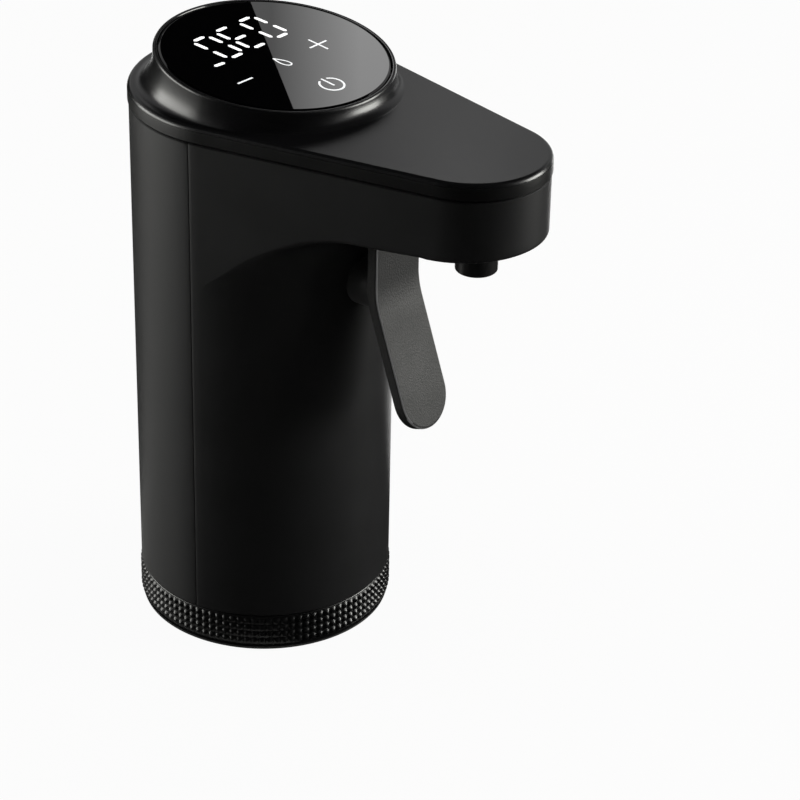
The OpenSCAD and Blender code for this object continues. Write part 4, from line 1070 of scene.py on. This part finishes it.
def softbox(name, bearing, height, distance, width, tall, brightness, mirrored_too=True):
    data = bpy.data.lights.new(name, "AREA")
    data.shape = "RECTANGLE"
    data.size, data.size_y = width, tall
    data.energy = brightness * math.pi * width * tall
    data.color = LAMP_COLOUR
    lamp = bpy.data.objects.new(name, data)
    way = stage_direction(bearing, height)
    lamp.location = stage_centre + way * distance
    lamp.rotation_mode = "QUATERNION"
    lamp.rotation_quaternion = way.to_track_quat("Z", "Y")
    lamp.visible_camera = False
    lamp.visible_glossy = mirrored_too
    bpy.context.scene.collection.objects.link(lamp)


def card_paint(name, dark, pale, light=0.0):
    """Matt card, or with some light of its own a lit panel."""
    made, tree = new_material(name)
    place = add_node(tree, "ShaderNodeTexCoord").outputs["Object"]
    fibre = add_node(tree, "ShaderNodeTexNoise", {"Vector": place, "Scale": 1 / (3 * MM), "Detail": 3.0})
    colour = add_node(tree, "ShaderNodeMix", {"Factor": fibre.outputs["Fac"], "A": linear(dark),
                                              "B": linear(pale)}, data_type="RGBA")
    matt = add_node(tree, "ShaderNodeBsdfDiffuse", {"Color": colour.outputs["Result"]})
    glow = add_node(tree, "ShaderNodeEmission", {"Color": colour.outputs["Result"], "Strength": light})
    both = add_node(tree, "ShaderNodeAddShader", {0: matt.outputs[0], 1: glow.outputs[0]})
    add_node(tree, "ShaderNodeOutputMaterial", {"Surface": both.outputs[0]})
    return made


felt_black = card_paint("felt_black_card", "#0c0c0c", "#141414")


def card(name, corners, paint):
    made = bpy.data.objects.new(name, as_mesh(name, corners, [tuple(range(len(corners)))]))
    made.data.materials.append(paint)
    bpy.context.scene.collection.objects.link(made)
    made.visible_camera = False
    made.visible_diffuse = False
    made.visible_shadow = False


def ground(bearing, reach, up=0.6):
    """A place on the stage at a bearing and a distance, just above the table if no height is given."""
    way = stage_direction(bearing, 0)
    return (way.x * reach, way.y * reach, up)


def seen_in_glass(u, v, distance=500.0):
    """The place behind the object that the camera sees mirrored at a point of the display."""
    out = glass_place.to_3x3() @ Vector((0, 0, 1))
    eye = camera.matrix_world.translation / MM
    middle = glass_place.translation
    eye_behind = eye - 2 * out * ((eye - middle) @ out)
    middle_way = (middle - eye_behind).normalized()
    touched = glass_place @ Vector((-v, u, 0))
    way = touched - eye_behind
    reach = (distance - (touched - middle) @ middle_way) / (way @ middle_way)
    return tuple(touched + way * reach)


# The line on the glass where the bright panel's edge is mirrored, from its far to its near end.
EDGE_FAR = np.array([14.5, 19.6])
EDGE_NEAR = np.array([-16.5, -19.4])
OVERRUN = 0.06
PANEL_WIDE = 30
edge_way = EDGE_FAR - EDGE_NEAR
edge_start, edge_end = EDGE_NEAR - OVERRUN * edge_way, EDGE_FAR + OVERRUN * edge_way
bright_side = np.array([0.78, -0.62]) * PANEL_WIDE


def panel_paint():
    """Lit cloth that grows brighter away from its edge, as a softbox does towards its lamp."""
    made, tree = new_material("softbox_cloth")
    place = add_node(tree, "ShaderNodeTexCoord").outputs["Object"]
    edge_point = Vector(seen_in_glass(*((EDGE_FAR + EDGE_NEAR) / 2))) * MM
    far_point = Vector(seen_in_glass(*((EDGE_FAR + EDGE_NEAR) / 2 + bright_side / 1.5))) * MM
    way = far_point - edge_point
    offset = add_node(tree, "ShaderNodeVectorMath", {0: place, 1: tuple(edge_point)},
                      operation="SUBTRACT")
    along = add_node(tree, "ShaderNodeVectorMath",
                     {0: offset.outputs["Vector"], 1: tuple(way / way.length_squared)},
                     operation="DOT_PRODUCT")
    glow = add_node(tree, "ShaderNodeMapRange", {"Value": along.outputs["Value"], "From Min": 0.0,
                                                 "From Max": 1.0, "To Min": 0.7, "To Max": 2.3})
    cloth = add_node(tree, "ShaderNodeEmission",
                     {"Color": linear("#ffffff"), "Strength": glow.outputs["Result"]})
    add_node(tree, "ShaderNodeOutputMaterial", {"Surface": cloth.outputs[0]})
    return made


FAR, FAR_TALL = 1500, 1250
BACK, BACK_TALL = 1400, 450
CEILING = 1200


def standing(first, last, reach, tall):
    """The corners of an upright card between two bearings."""
    return [ground(first, reach, 0), ground(last, reach, 0), ground(last, reach, tall),
            ground(first, reach, tall)]


def lying(first, last, near, far):
    """The corners of a card on the table between two bearings."""
    return [ground(first, near), ground(first, far), ground(last, far), ground(last, near)]


def behind(side):
    """The corners of a card that is mirrored by the display on one side of the panel's edge."""
    return [seen_in_glass(*edge_start), seen_in_glass(*edge_end), seen_in_glass(*(edge_end + side)),
            seen_in_glass(*(edge_start + side))]


# The dark card on the table, as bearings and distances: its far edge and then its near edge.
TABLE_CARD = ((-56, 60), (-66, 150), (-66, FAR), (0, FAR), (60, FAR), (112, FAR),
              (112, 36), (60, 34), (0, 34), (-40, 34))
card("dark_card_table", [ground(bearing, reach) for bearing, reach in TABLE_CARD], felt_black)
card("dark_card_front", standing(-56, 0, FAR, FAR_TALL), felt_black)
card("dark_card_front_right", standing(0, 60, FAR, FAR_TALL), felt_black)
for name, first, last in (("dark_card_back_left", -121, -158), ("dark_card_back_right", 112, 138)):
    card(name, standing(first, last, BACK, BACK_TALL), felt_black)
    card(name + "_low", lying(first, last, 38, BACK), felt_black)
card("dark_card_ceiling", [(x * FAR, y * FAR, CEILING) for x, y in corner_ways], felt_black)
card("dark_card_behind", behind(-bright_side), felt_black)
card("bright_panel_behind", behind(bright_side), panel_paint())
card("white_card_table", lying(138, 200, 60, BACK),
     card_paint("foam_board_white", "#f0f0f0", "#f8f8f8", 1.5))

# Each lamp: bearing, height, distance in metres, width and height in metres, and brightness.
softbox("strip_left", -94, 5, 0.8, 0.68, 0.3, 6.1)
softbox("strip_right", 93, 8, 0.8, 0.42, 0.36, 12.5)
softbox("fill_left", -70, 40, 1.1, 0.8, 0.8, 0.2, mirrored_too=False)
softbox("fill_right", 60, 40, 1.1, 0.8, 0.8, 0.4, mirrored_too=False)
softbox("fill_top", 170, 75, 1.1, 1.0, 1.0, 1.0, mirrored_too=False)
